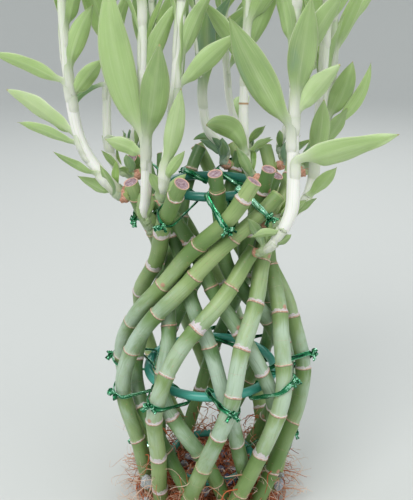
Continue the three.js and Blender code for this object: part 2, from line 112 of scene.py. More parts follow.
def ease(value: Array, low: float, high: float) -> Array:
    """A smooth step from 0 at low to 1 at high."""
    t = np.clip((value - low) / (high - low), 0, 1)
    return t * t * (3 - 2 * t)


def bell(value: Array, middle: float, width: float) -> Array:
    """exp(-((value - middle) / width)^2): a bump of height 1."""
    return np.exp(-(((value - middle) / width) ** 2))


@dataclass(frozen=True)
class Line:
    """A middle line as close points, read by the distance along it."""

    points: Array

    @classmethod
    def through(cls, way: Array, steps: int = 24) -> "Line":
        """The centripetal Catmull-Rom curve through a few points: each stretch is the cubic whose end
        slopes are those of its neighbours, with the square root of each gap as the pace."""
        padded = np.vstack([2 * way[0] - way[1], way, 2 * way[-1] - way[-2]])
        pace = np.maximum(np.linalg.norm(np.diff(padded, axis=0), axis=1), 1e-9)[:, None] ** 0.5
        a, b, c, d = padded[:-3], padded[1:-2], padded[2:-1], padded[3:]
        before, here, after = pace[:-2], pace[1:-1], pace[2:]
        leave = here * ((b - a) / before - (c - a) / (before + here) + (c - b) / here)
        arrive = here * ((c - b) / here - (d - b) / (here + after) + (d - c) / after)
        t = np.linspace(0, 1, steps, endpoint=False)[None, :, None]
        b, c, leave, arrive = b[:, None], c[:, None], leave[:, None], arrive[:, None]
        rise = t * t * (3 - 2 * t)
        stretch = b + (c - b) * rise + t * (1 - t) ** 2 * leave + t * t * (t - 1) * arrive
        return cls(np.vstack([stretch.reshape(-1, 3), way[-1:]]))

    @cached_property
    def along(self) -> Array:
        """The distance from the start to each point."""
        return np.concatenate([[0.0], np.cumsum(np.linalg.norm(np.diff(self.points, axis=0), axis=1))])

    @property
    def length(self) -> float:
        """The whole length."""
        return float(self.along[-1])

    def at(self, along: Array | float) -> Array:
        """Points at distances along the line."""
        return np.stack([np.interp(along, self.along, self.points[:, k]) for k in range(3)], axis=-1)

    def heading(self, along: Array | float, reach: float = 0.6) -> Array:
        """Unit vectors along the line, by the difference of two near points."""
        middle = np.clip(along, reach, self.length - reach)
        return unit(self.at(middle + reach) - self.at(middle - reach))

    def frames(self, along: Array, side: Array) -> tuple[Array, Array]:
        """Two unit vectors square to the line at each distance, the first as near to side as can be."""
        heading = self.heading(along)
        across = unit(side - (side * heading).sum(-1, keepdims=True) * heading)
        return across, np.cross(across, heading)


class Steps:
    """The part's own repeatable draws, so that the main roots leave the mat where its solid has them."""

    def __init__(self, seed: int) -> None:
        """Starts the row of draws from a whole number."""
        self.state = seed

    def __call__(self) -> float:
        """The next number from 0 to 1."""
        self.state = (self.state * 1664525 + 1013904223) % 2**32
        return self.state / 2**32


# ---------------------------------------------------------------- surfaces
def spread_over(rings: Array, marks: Mapping[str, Array | float]) -> dict[str, Array]:
    """Marks with a value, or a vector of three, at every point of the rings, which without a grain get
    their own places in metres as one."""
    arrays = {name: np.asarray(value, float) for name, value in {"grain": rings * MM, **marks}.items()}
    return {
        name: np.broadcast_to(value, rings.shape if value.shape[-1:] == (3,) else rings.shape[:2])
        for name, value in arrays.items()
    }


def flattened(grid: Array) -> Array:
    """A grid's values or vectors in one row, ring after ring."""
    return grid.reshape(-1, *grid.shape[2:])


@dataclass
class Surface:
    """A closed surface in millimetres, with a value or a vector of each named mark at every point."""

    points: Array
    quads: Indices
    triangles: Indices
    marks: dict[str, Array] = field(default_factory=dict)

    @classmethod
    def tube(cls, rings: Array, **marks: Array | float) -> "Surface":
        """Joins rings of points into a skin and closes each end with a point in its middle.

        Args:
            rings: points, shaped (rings, around, 3).
            marks: each a number, values shaped (rings, around) or (rings, 1), or vectors shaped
                (rings, around, 3).

        Returns:
            The closed surface, facing out.
        """
        rows, around = rings.shape[:2]
        index = np.arange(rows * around).reshape(rows, around)
        right = np.roll(index, -1, axis=1)
        quads = np.stack([index[:-1], right[:-1], right[1:], index[1:]], axis=-1).reshape(-1, 4)
        foot, tip = np.full(around, rows * around), np.full(around, rows * around + 1)
        ends = [np.stack([right[0], index[0], foot], -1), np.stack([index[-1], right[-1], tip], -1)]
        points = np.vstack([flattened(rings), rings[0].mean(0), rings[-1].mean(0)])
        closed = {
            name: np.concatenate([flattened(full), full[:1].mean(1), full[-1:].mean(1)])
            for name, full in spread_over(rings, marks).items()
        }
        return cls(points, quads, np.concatenate(ends), closed).facing_out()

    @classmethod
    def hoop(cls, rings: Array, **marks: Array | float) -> "Surface":
        """Joins rings of points into a skin whose last ring meets its first.

        Args:
            rings: points, shaped (rings, around, 3).
            marks: as for a tube.

        Returns:
            The closed surface, facing out.
        """
        rows, around = rings.shape[:2]
        index = np.arange(rows * around).reshape(rows, around)
        right, after = np.roll(index, -1, axis=1), np.roll(index, -1, axis=0)
        quads = np.stack([index, right, np.roll(right, -1, axis=0), after], axis=-1).reshape(-1, 4)
        spread = {name: flattened(full) for name, full in spread_over(rings, marks).items()}
        return cls(flattened(rings), quads, np.zeros((0, 3), int), spread).facing_out()

    @classmethod
    def joined(cls, surfaces: Iterable["Surface"]) -> "Surface":
        """Several surfaces with the same marks as one."""
        parts = list(surfaces)
        starts = np.cumsum([0] + [len(part.points) for part in parts[:-1]])
        return cls(
            np.concatenate([part.points for part in parts]),
            np.concatenate([part.quads + start for part, start in zip(parts, starts)]),
            np.concatenate([part.triangles + start for part, start in zip(parts, starts)]),
            {name: np.concatenate([part.marks[name] for part in parts]) for name in parts[0].marks},
        )

    def facing_out(self) -> "Surface":
        """The same surface, turned over if the volume that its faces enclose is negative."""
        corners = np.concatenate([self.triangles, self.quads[:, [0, 1, 2]], self.quads[:, [0, 2, 3]]])
        a, b, c = (self.points[corners[:, k]] - self.points[0] for k in range(3))
        if (a * np.cross(b, c)).sum() < 0:
            self.quads, self.triangles = self.quads[:, ::-1], self.triangles[:, ::-1]
        return self

    def mesh(self, name: str, is_smooth: bool) -> bpy.types.Mesh:
        """A Blender mesh in metres, with each mark as an attribute of its points."""
        mesh = bpy.data.meshes.new(name)
        corners = np.concatenate([self.quads.ravel(), self.triangles.ravel()])
        starts = np.arange(len(self.quads)) * 4
        starts = np.concatenate([starts, self.quads.size + np.arange(len(self.triangles)) * 3])
        mesh.vertices.add(len(self.points))
        mesh.vertices.foreach_set("co", (self.points * MM).ravel())
        mesh.loops.add(len(corners))
        mesh.loops.foreach_set("vertex_index", corners.astype(np.int32))
        mesh.polygons.add(len(starts))
        mesh.polygons.foreach_set("loop_start", starts.astype(np.int32))
        mesh.polygons.foreach_set("use_smooth", np.full(len(starts), is_smooth))
        for mark, values in self.marks.items():
            kind, key = ("FLOAT_VECTOR", "vector") if values.ndim == 2 else ("FLOAT", "value")
            attribute = mesh.attributes.new(mark, kind, "POINT")
            attribute.data.foreach_set(key, values.astype(np.float32).ravel())
        mesh.update(calc_edges=True)
        return mesh

    def put(self, name: str, finish: Material, slot: str, *nodes: str, is_smooth: bool = True) -> None:
        """Makes the surface a piece of the object, riding on its body and standing for CAD nodes.

        Args:
            name: the piece's name.
            finish: its material.
            slot: the record's material slot; not used.
            nodes: the CAD nodes that it stands for.
            is_smooth: False where flat facets show, as on foil and broken glass.
        """
        piece = bpy.data.objects.new(name, self.mesh(name, is_smooth))
        bpy.context.scene.collection.objects.link(piece)
        piece.data.materials.append(finish)
        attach(piece, BODY)
        if nodes:
            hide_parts(*nodes)
        triangles = 2 * len(self.quads) + len(self.triangles)
        LOG.info("%s: %d triangles, stands for %s", name, triangles, ", ".join(nodes) or "nothing")


def swept(line: Line, along: Array, radius: Array, sides: int, side: Array) -> Array:
    """Rings of a round bar: centre + r (cos a across + sin a other) at each distance along a line.

    Args:
        line: the middle line.
        along: distances of the rings, shaped (rings,).
        radius: radii, shaped (rings,) or (rings, sides).
        sides: how many points a ring has.
        side: the direction that angle 0 looks to, shaped (3,) or (rings, 3).

    Returns:
        The rings, shaped (rings, sides, 3).
    """
    across, other = line.frames(along, np.broadcast_to(side, (len(along), 3)))
    angle = circle(sides)[None, :, None]
    reach = np.asarray(radius, float).reshape(len(along), -1, 1)
    turned = np.cos(angle) * across[:, None] + np.sin(angle) * other[:, None]
    return line.at(along)[:, None] + reach * turned


# ---------------------------------------------------------------- shader maths
def paint(code: str) -> Colour:
    """A colour in Blender's linear numbers from six hex digits."""
    parts = [int(code[k : k + 2], 16) / 255 for k in (0, 2, 4)]
    linear = [p / 12.92 if p <= 0.04045 else ((p + 0.055) / 1.055) ** 2.4 for p in parts]
    return (*linear, 1.0)


class Value:
    """A number that changes over a surface: expressions on it add their Math nodes."""

    def __init__(self, graph: "Graph", socket: Socket) -> None:
        """Wraps the output socket of a node of a graph."""
        self.graph = graph
        self.socket = socket

    def maths(self, operation: str, *others: Link) -> "Value":
        """A Math node on this value and others."""
        inputs = dict(enumerate((self, *others)))
        node = self.graph.node("ShaderNodeMath", {"operation": operation}, inputs)
        return Value(self.graph, node.outputs[0])

    def __add__(self, other: Link) -> "Value":
        """self + other."""
        return self.maths("ADD", other)

    def __sub__(self, other: Link) -> "Value":
        """self - other."""
        return self.maths("SUBTRACT", other)

    def __rsub__(self, other: float) -> "Value":
        """other - self."""
        return (self * -1.0) + other

    def __mul__(self, other: Link) -> "Value":
        """self * other."""
        return self.maths("MULTIPLY", other)

    __radd__ = __add__
    __rmul__ = __mul__

    def sine(self) -> "Value":
        """The sine of the value, in radians."""
        return self.maths("SINE")

    def step(self, low: float, high: float) -> "Value":
        """A smooth step from 0 at low to 1 at high, or down where low is above high."""
        settings = {"interpolation_type": "SMOOTHSTEP"}
        inputs = {"Value": self, "From Min": min(low, high), "From Max": max(low, high)}
        inputs |= {"To Min": float(low > high), "To Max": float(low <= high)}
        node = self.graph.node("ShaderNodeMapRange", settings, inputs)
        return Value(self.graph, node.outputs["Result"])


class Graph:
    """A material's nodes, built from expressions."""

    def __init__(self, name: str) -> None:
        """Starts an empty material."""
        self.material = bpy.data.materials.new(name)
        self.material.use_nodes = True
        self.tree = self.material.node_tree
        self.tree.nodes.clear()

    def node(
        self, kind: str, settings: Mapping[str, object], inputs: Mapping[str | int, Link]
    ) -> bpy.types.Node:
        """Adds a node.

        Args:
            kind: the node's type.
            settings: its own settings, such as a Math node's operation, which are set first.
            inputs: values or links for its input sockets, by name or number.

        Returns:
            The node.
        """
        node = self.tree.nodes.new(kind)
        for name, value in settings.items():
            setattr(node, name, value)
        for key, value in inputs.items():
            if isinstance(value, Value):
                value = value.socket
            if isinstance(value, Socket):
                self.tree.links.new(value, node.inputs[key])
            else:
                node.inputs[key].default_value = value
        return node

    def mark(self, name: str) -> Value:
        """A number mark of the surface."""
        node = self.node("ShaderNodeAttribute", {"attribute_name": name}, {})
        return Value(self, node.outputs["Fac"])

    def grain(self, stretch: Point = (1, 1, 1)) -> Socket:
        """The surface's grain, a place in metres that follows it, stretched along its three axes."""
        node = self.node("ShaderNodeAttribute", {"attribute_name": "grain"}, {})
        inputs = {0: node.outputs["Vector"], 1: stretch}
        return self.node("ShaderNodeVectorMath", {"operation": "MULTIPLY"}, inputs).outputs[0]

    def noise(self, scale: float, detail: float, warp: float = 0.0, stretch: Point = (1, 1, 1)) -> Value:
        """Soft noise from 0 to 1 on the grain, with scale cells a metre."""
        inputs = {"Vector": self.grain(stretch), "Scale": scale, "Detail": detail, "Distortion": warp}
        return Value(self, self.node("ShaderNodeTexNoise", {}, inputs).outputs["Fac"])

    def cells(self, scale: float) -> Value:
        """The distance on the grain to the nearest of scattered points, with scale points a metre."""
        node = self.node("ShaderNodeTexVoronoi", {}, {"Vector": self.grain(), "Scale": scale})
        return Value(self, node.outputs["Distance"])

    def mix(self, share: Link, first: Link | str, second: Link | str) -> Socket:
        """The first colour where share is 0, the second where it is 1. Each may be six hex digits."""
        ends = [paint(end) if isinstance(end, str) else end for end in (first, second)]
        settings = {"data_type": "RGBA", "clamp_factor": True}
        return self.node("ShaderNodeMix", settings, {0: share, 6: ends[0], 7: ends[1]}).outputs[2]

    def bump(self, height: Value, distance: float, strength: float = 1.0) -> Socket:
        """A normal from a height of 0 to 1, which stands for distance metres."""
        inputs = {"Height": height, "Distance": distance, "Strength": strength}
        return self.node("ShaderNodeBump", {}, inputs).outputs["Normal"]

    def finish(self, inputs: Mapping[str | int, Link]) -> Material:
        """Closes the graph with a Principled shader and returns the material."""
        shader = self.node("ShaderNodeBsdfPrincipled", {}, inputs)
        self.node("ShaderNodeOutputMaterial", {}, {"Surface": shader.outputs[0]})
        return self.material


def bell_mask(value: Value, middle: float, reach: float) -> Value:
    """1 where a value is at the middle, falling to 0 within reach on each side."""
    return value.step(middle - reach, middle) * value.step(middle + reach, middle)


def glow(weight: float, red: float, green: float, blue: float) -> dict[str, Link]:
    """Shader settings for tissue that light enters, to a depth in metres for each colour."""
    return {"Subsurface Weight": weight, "Subsurface Radius": (red, green, blue), "Subsurface Scale": 1.0}


# ---------------------------------------------------------------- finishes
@dataclass(frozen=True)
class CaneSkin:
    """Living cane: waxy yellow-green between pale node rings, and a mauve cut face with a pinkish rim.
    Its bloom thins on the side facing into the cage, as painted shade.
    """

    name: str
    fresh: str = "a3b87a"
    deep: str = "668646"
    bloom: str = "b9cdba"
    ring: str = "d8bda8"
    peel: str = "d8cdd2"
    bud: str = "c08a78"
    heart: str = "a98d96"
    fibre: str = "6e5258"
    rim: str = "d6aa98"

    def build(self) -> Material:
        """Layers the finish from the inside out: skin, bloom with painted shade, streaks, ring, peel, bud,
        cut face.
        """
        g = Graph(self.name)
        ring, stage, tone, wax = (g.mark(name) for name in ("ring", "stage", "tone", "wax"))
        streaks = g.noise(900, 3, stretch=(1, 1, 0.05))
        blotches = g.noise(130, 4, 0.8, stretch=(1, 1, 0.4))
        clouds = g.noise(42, 3, stretch=(1, 1, 0.6))
        under = stage.step(0.62, 1.0)
        skin = g.mix((tone * 0.8 + clouds * 0.9 - 0.35).step(0.0, 0.9), self.deep, self.fresh)
        skin = g.mix(under * 0.55, skin, self.deep)
        # The bloom's share is partly painted shade: thinner on each cane's side facing into the cage, and
        # on the inner canes.
        cover = wax * (blotches * 1.3 + clouds * 0.5 - under * 0.5 + streaks * 0.3)
        skin = g.mix(cover.step(0.3, 1.05) * 0.85, skin, self.bloom)
        skin = g.mix(streaks.step(0.52, 0.72) * 0.35, skin, self.deep)
        specks = g.noise(560, 2).step(0.68, 0.74)
        skin = g.mix(specks * 0.45, skin, self.bud)
        torn = g.noise(700, 3, stretch=(1, 1, 0.35))
        skin = g.mix(g.mark("peel").step(0.1, 0.6) * torn.step(0.15, 0.5) * 0.92, skin, self.peel)
        skin = g.mix(bell_mask(ring, -0.9, 0.4) * 0.6, skin, self.fibre)
        edge = ring.step(-0.75, -0.35) * ring.step(0.75, 0.35)
        second = bell_mask(ring, 1.7, 0.35) * torn.step(0.35, 0.6) * 0.7
        scar = g.mix(torn.step(0.42, 0.62), self.ring, self.bud)
        skin = g.mix((edge + second) * 0.95, skin, scar)
        skin = g.mix(g.mark("bud").step(0.2, 0.7) * 0.85, skin, self.bud)
        rho, cut = g.mark("rho"), g.mark("cut")
        pores = g.cells(1100).step(0.5, 0.1)
        patches = g.noise(420, 4)
        face = g.mix(pores * 0.7 + patches.step(0.45, 0.7) * 0.5, self.heart, self.fibre)
        face = g.mix(patches.step(0.5, 0.3) * 0.45, face, self.peel)
        face = g.mix(bell_mask(rho, 0.8, 0.06) * 0.45, face, self.fibre)
        face = g.mix((rho + patches * 0.06).step(0.84, 0.9), face, self.rim)
        height = streaks * 0.3 + torn * edge * 0.9 + pores * cut * 0.8 + blotches * 0.2
        return g.finish({
            "Base Color": g.mix(cut, skin, face),
            "Roughness": 0.33 + wax * 0.14 + blotches * 0.14 + cut * 0.3,
            "Normal": g.bump(height, 0.0002, 0.7),
            "Specular IOR Level": 0.5,
            **glow(0.05, 0.002, 0.003, 0.001),
        })


@dataclass(frozen=True)
class LeafSkin:
    """Young leaf: pale clasping base, soft green blade with faint veins, cream margins and a dry tip,
    darker and bluer as painted shade on the shoots at the back.
    """

    name: str
    base: str = "e6ead6"
    pale: str = "bfd69c"
    blade: str = "9aba6c"
    olive: str = "708f40"
    blue: str = "4f7a62"
    under: str = "cfe0c6"
    margin: str = "d9e0b9"
    dry: str = "a98d5c"

    def build(self) -> Material:
        """Layers the finish: the leaf's own green with painted shade on the back shoots, streaks,
        underside, base, midrib, margins and tip.
        """
        g = Graph(self.name)
        run, side, tone = g.mark("run"), g.mark("side"), g.mark("tone")
        clouds = g.noise(36, 3, 0.5)
        streaks = g.noise(1100, 3, 0.3, stretch=(1, 0.03, 1))
        bands = g.noise(75, 2, 0.6, stretch=(1, 0.35, 1))
        veins = (side * 44.0 + clouds * 3.0).sine() * 0.5 + 0.5
        # The tone holds painted shade: the shoots at the back are set darker, towards the blue-green.
        shade = tone + clouds * 0.4 + bands * 0.6 - 0.56
        green = g.mix(shade.step(0.0, 0.3), self.blue, self.olive)
        green = g.mix(shade.step(0.22, 0.6), green, self.blade)
        green = g.mix(shade.step(0.6, 1.1), green, self.pale)
        green = g.mix(streaks.step(0.5, 0.75) * 0.2, green, self.margin)
        green = g.mix(streaks.step(0.5, 0.25) * 0.16, green, self.olive)
        green = g.mix(veins * 0.03, green, self.margin)
        green = g.mix(g.mark("under") * 0.16, green, self.under)
        middle = side.maths("ABSOLUTE")
        green = g.mix(middle.step(0.3, 0.0) * 0.12, green, self.margin)
        white = (run + clouds * 0.08 + streaks * 0.1 - 0.05).step(0.42, 0.07)
        green = g.mix(white * g.mark("blanch") * 0.95, green, self.base)
        edge = middle.step(0.93, 0.99) * run.step(0.1, 0.3)
        colour = g.mix(edge * 0.6, green, self.margin)
        colour = g.mix((run + streaks * 0.02).step(0.985, 1.0) * 0.7, colour, self.dry)
        return g.finish({
            "Base Color": colour,
            "Roughness": 0.34 + clouds * 0.16 + streaks * 0.08,
            "Normal": g.bump(veins * 0.3 + clouds * 0.3 + streaks * 0.7, 0.0002, 0.5),
            "Specular IOR Level": 0.5,
            **glow(0.2, 0.003, 0.004, 0.0015),
        })


@dataclass(frozen=True)
class StemSkin:
    """Young stem: rolled pale sheaths, nearly white, greener at the foot and towards the tip."""

    name: str
    pale: str = "f1f0ea"
    green: str = "b5cb95"
    line: str = "b8936f"
    foot: str = "93a362"

    def build(self) -> Material:
        """Layers the finish: foot, pale length, green tip, long fibres and node lines."""
        g = Graph(self.name)
        run, ring, tone = g.mark("run"), g.mark("ring"), g.mark("tone")
        fibres = g.noise(800, 2, stretch=(1, 1, 0.04))
        clouds = g.noise(60, 3, stretch=(1, 1, 0.35))
        upper = (run + clouds * 0.35 + tone * 0.3).step(0.72, 1.55)
        colour = g.mix(upper, self.pale, self.green)
        colour = g.mix(fibres.step(0.48, 0.75) * 0.35, colour, self.green)
        colour = g.mix((run + clouds * 0.1).step(0.24, 0.05), colour, self.foot)
        colour = g.mix(ring.step(0.2, 0.8), colour, self.line)
        return g.finish({
            "Base Color": colour,
            "Roughness": 0.4 + fibres * 0.14,
            "Normal": g.bump(fibres * 0.6 + clouds * 0.2, 0.00014, 0.6),
            "Specular IOR Level": 0.45,
            **glow(0.15, 0.003, 0.004, 0.002),
        })


@dataclass(frozen=True)
class CallusBark:
    """Rough healed tissue where a shoot breaks out of its cane: pink-orange, brown in its cracks."""

    name: str
    pink: str = "dfa58e"
    rust: str = "c0886e"
    pale: str = "ead3c5"

    def build(self) -> Material:
        """Cracks between small scales."""
        g = Graph(self.name)
        scales = g.cells(700)
        drift = g.noise(350, 3)
        colour = g.mix(drift.step(0.4, 0.65), self.pink, self.rust)
        colour = g.mix(scales.step(0.35, 0.1) * 0.6, colour, self.pale)
        normal = g.bump(scales + drift, 0.0006, 0.9)
        return g.finish({"Base Color": colour, "Roughness": 0.6 + drift * 0.2, "Normal": normal})


@dataclass(frozen=True)
class HoopPlastic:
    """Glossy plastic tube in teal, with faint scuffs and wear, and each hoop paled by its own painted
    light.
    """

    name: str
    teal: str = "146657"
    wear_and_painted_light: str = "52b5a4"

    def build(self) -> Material:
        """Colour drifts along the tube, scuffs dull it, and each hoop's painted light pales it."""
        g = Graph(self.name)
        drift = g.noise(35, 2, stretch=(1, 1, 0.3))
        scuffs = g.noise(900, 3, stretch=(1, 1, 0.12)).step(0.58, 0.75)
        wear_and_painted_light = g.mark("fade") + drift.step(0.3, 0.8) * 0.25 + scuffs * 0.2
        colour = g.mix(wear_and_painted_light, self.teal, self.wear_and_painted_light)
        return g.finish({
            "Base Color": colour,
            "Roughness": 0.3 + scuffs * 0.25 + drift * 0.1,
            "Normal": g.bump(scuffs, 0.00006, 0.5),
            "Coat Weight": 0.15,
            "Coat Roughness": 0.2,
        })


@dataclass(frozen=True)
class TieFoil:
    """Pleated emerald foil, lightly crumpled, with painted glints and painted shade on its facets."""

    name: str
    painted_glint: str = "bdf5d8"
    green: str = "2c8a5a"
    dark: str = "05261a"

    def build(self) -> Material:
        """Metal whose facets run from black-green painted shade to pale green painted glints, painted
        reflections in place of what the foil mirrors.
        """
        g = Graph(self.name)
        # Each facet's tone is its painted light: low is painted shade, high a painted glint.
        facet = g.mark("tone")
        crumple = g.noise(900, 2)
        shade = facet * 0.8 + crumple * 0.4
        colour = g.mix(shade.step(0.35, 0.6), self.dark, self.green)
        colour = g.mix(shade.step(0.64, 0.82), colour, self.painted_glint)
        return g.finish({
            "Base Color": colour,
            "Metallic": 0.75,
            "Roughness": 0.18 + crumple * 0.12,
            "Normal": g.bump(crumple, 0.0003, 0.6),
        })


@dataclass(frozen=True)
class RootBark:
    """Fibrous roots: orange-brown, red-brown as painted shade in the depth of the mat and inside the cage,
    and pale pinkish at the young tips.
    """

    name: str
    orange: str = "bd6439"
    brown: str = "5a2c1b"
    tan: str = "c99a7a"
    pale: str = "e2ccba"

    def build(self) -> Material:
        """Tone runs from painted shade in the depth of the mat to the tips."""
        g = Graph(self.name)
        tone, run = g.mark("tone"), g.mark("run")
        drift = g.noise(130, 3)
        rind = g.noise(1500, 2)
        shade = tone + drift * 0.5 - 0.25
        colour = g.mix(shade.step(0.0, 0.55), self.brown, self.orange)
        colour = g.mix(shade.step(0.5, 0.95), colour, self.tan)
        colour = g.mix((shade + run * 0.6).step(0.8, 1.5), colour, self.pale)
        return g.finish({
            "Base Color": colour,
            "Roughness": 0.65 + rind * 0.2,
            "Normal": g.bump(rind, 0.0002, 0.8),
        })


@dataclass(frozen=True)
class ChipGlass:
    """Broken glass: clear, with a grey or violet cast, and dusty on its faces."""

    name: str
    clear: str = "e9eef0"
    violet: str = "6f678f"

    def build(self) -> Material:
        """The cast changes from chip to chip, and dust dulls parts of it."""
        g = Graph(self.name)
        dust = g.noise(260, 3)
        return g.finish({
            "Base Color": g.mix(g.mark("tone"), self.clear, self.violet),
            "Roughness": 0.06 + dust.step(0.4, 0.75) * 0.4,
            "Transmission Weight": 0.55,
            "IOR": 1.5,
            "Normal": g.bump(dust, 0.0003, 0.4),
        })


@dataclass(frozen=True)
class StudioFloor:
    """Plain pale paper."""

    name: str
    paper: str = "c9cbc8"
    cloud: str = "bbbebb"

    def build(self) -> Material:
        """A matt sheet with the faintest cloud."""
        g = Graph(self.name)
        clouds = g.noise(3, 2)
        return g.finish({"Base Color": g.mix(clouds * 0.1, self.paper, self.cloud), "Roughness": 0.85})


# ---------------------------------------------------------------- canes
LEVELS = (7, 65, 125, 180, 229, 271, 305)


class Layer(Enum):
    """The two layers of the cage: its canes' radius, and their middle lines' radius at each level."""

    OUTER = (6.4, (55, 68.2, 78.4, 64.6, 45.3, 57, 70))
    INNER = (6.0, (41.3, 54.4, 64.6, 50, 31, 42.8, 55.6))

    @property
    def cane_radius(self) -> float:
        """The radius of each cane."""
        return self.value[0]

    @property
    def radii(self) -> tuple[float, ...]:
        """The radius of the cage at each level."""
        return self.value[1]


@dataclass(frozen=True)
class Cane:
    """One cut cane.

    Its sizes are its bearing at each level, the height of its cut top, how far its first node ring is
    below the cut and how far apart its rings are. It thins by taper twice: through the neck of the cage,
    and just above its first ring.
    """

    name: str
    layer: Layer
    bearings: tuple[float, ...]
    top: float
    first_node: float
    internode: float
    taper: float = 0.07
    neck: tuple[float, float] = (225, 285)
    last_step: float = 9

    def centre(self, z: Array | float) -> Array:
        """Its middle at a height."""
        return polar(smooth(LEVELS, self.bearings, z), smooth(LEVELS, self.layer.radii, z), z)

    def girth(self, z: Array | float) -> Array:
        """Its radius at a height."""
        last = self.top - self.first_node
        share = 1 - self.taper * ease(z, *self.neck) - self.taper * ease(z, last, last + self.last_step)
        return self.layer.cane_radius * share

    @cached_property
    def line(self) -> Line:
        """Its middle line from the foot to the cut."""
        return Line(self.centre(np.linspace(LEVELS[0], self.top, 700)))

    @cached_property
    def nodes(self) -> Array:
        """Distances of its node rings from the foot, rising."""
        return np.arange(self.line.length - self.first_node, 0, -self.internode)[::-1]


OUTER, INNER = Layer.OUTER, Layer.INNER
CANES = {
    cane.name: cane
    for cane in (
        Cane("cane_outer_01", OUTER, (-112, -100, -97, -72, -34, 11, 27), 301, 16, 50),
        Cane("cane_outer_02", OUTER, (-76, -62, -67, -52, -11, 36, 72), 285, 45, 43),
        Cane("cane_outer_03", OUTER, (-51, -39, -33, -16, 31, 72, 90), 242, 34, 42),
        Cane("cane_outer_04", OUTER, (-26, -7, 9, 23, 60, 90, 108), 303, 18, 36),
        Cane("cane_outer_05", OUTER, (12, 31, 45, 57, 87, 118, 140), 303, 24, 40),
        Cane("cane_outer_06", OUTER, (40, 60, 80, 88, 115, 146, 166), 303, 20, 46),
        Cane("cane_outer_07", OUTER, (76, 98, 118, 130, 153, 176, 192), 302, 30, 42),
        Cane("cane_outer_08", OUTER, (115, 138, 158, 172, 202, 230, 256), 300, 17, 45),
        Cane("cane_outer_09", OUTER, (152, 177, 195, 212, 253, 280, 291), 290, 14, 40),
        Cane("cane_outer_10", OUTER, (200, 219, 229, 251, 290, 325, 345), 300, 13, 44),
        Cane("cane_inner_01", INNER, (-18, -44, -82, -92, -118, -150, -172), 303, 22, 42),
        Cane("cane_inner_02", INNER, (20, -5, -36, -42, -84, -116, -135), 300, 28, 38),
        Cane("cane_inner_03", INNER, (50, 26, 10, -7, -50, -86, -105), 298, 18, 45),
        Cane("cane_inner_04", INNER, (95, 68, 47, 24, -16, -50, -66), 284, 4, 40),
        Cane("cane_inner_05", INNER, (135, 108, 84, 62, 20, 8, 2), 305, 14, 43),
        Cane("cane_inner_06", INNER, (178, 150, 128, 104, 60, 54, 48), 304, 20, 38),
        Cane("cane_inner_07", INNER, (220, 192, 172, 148, 104, 92, 80), 292, 31, 44),
        Cane("cane_inner_08", INNER, (275, 240, 218, 198, 168, 158, 152), 300, 16, 41),
    )
}


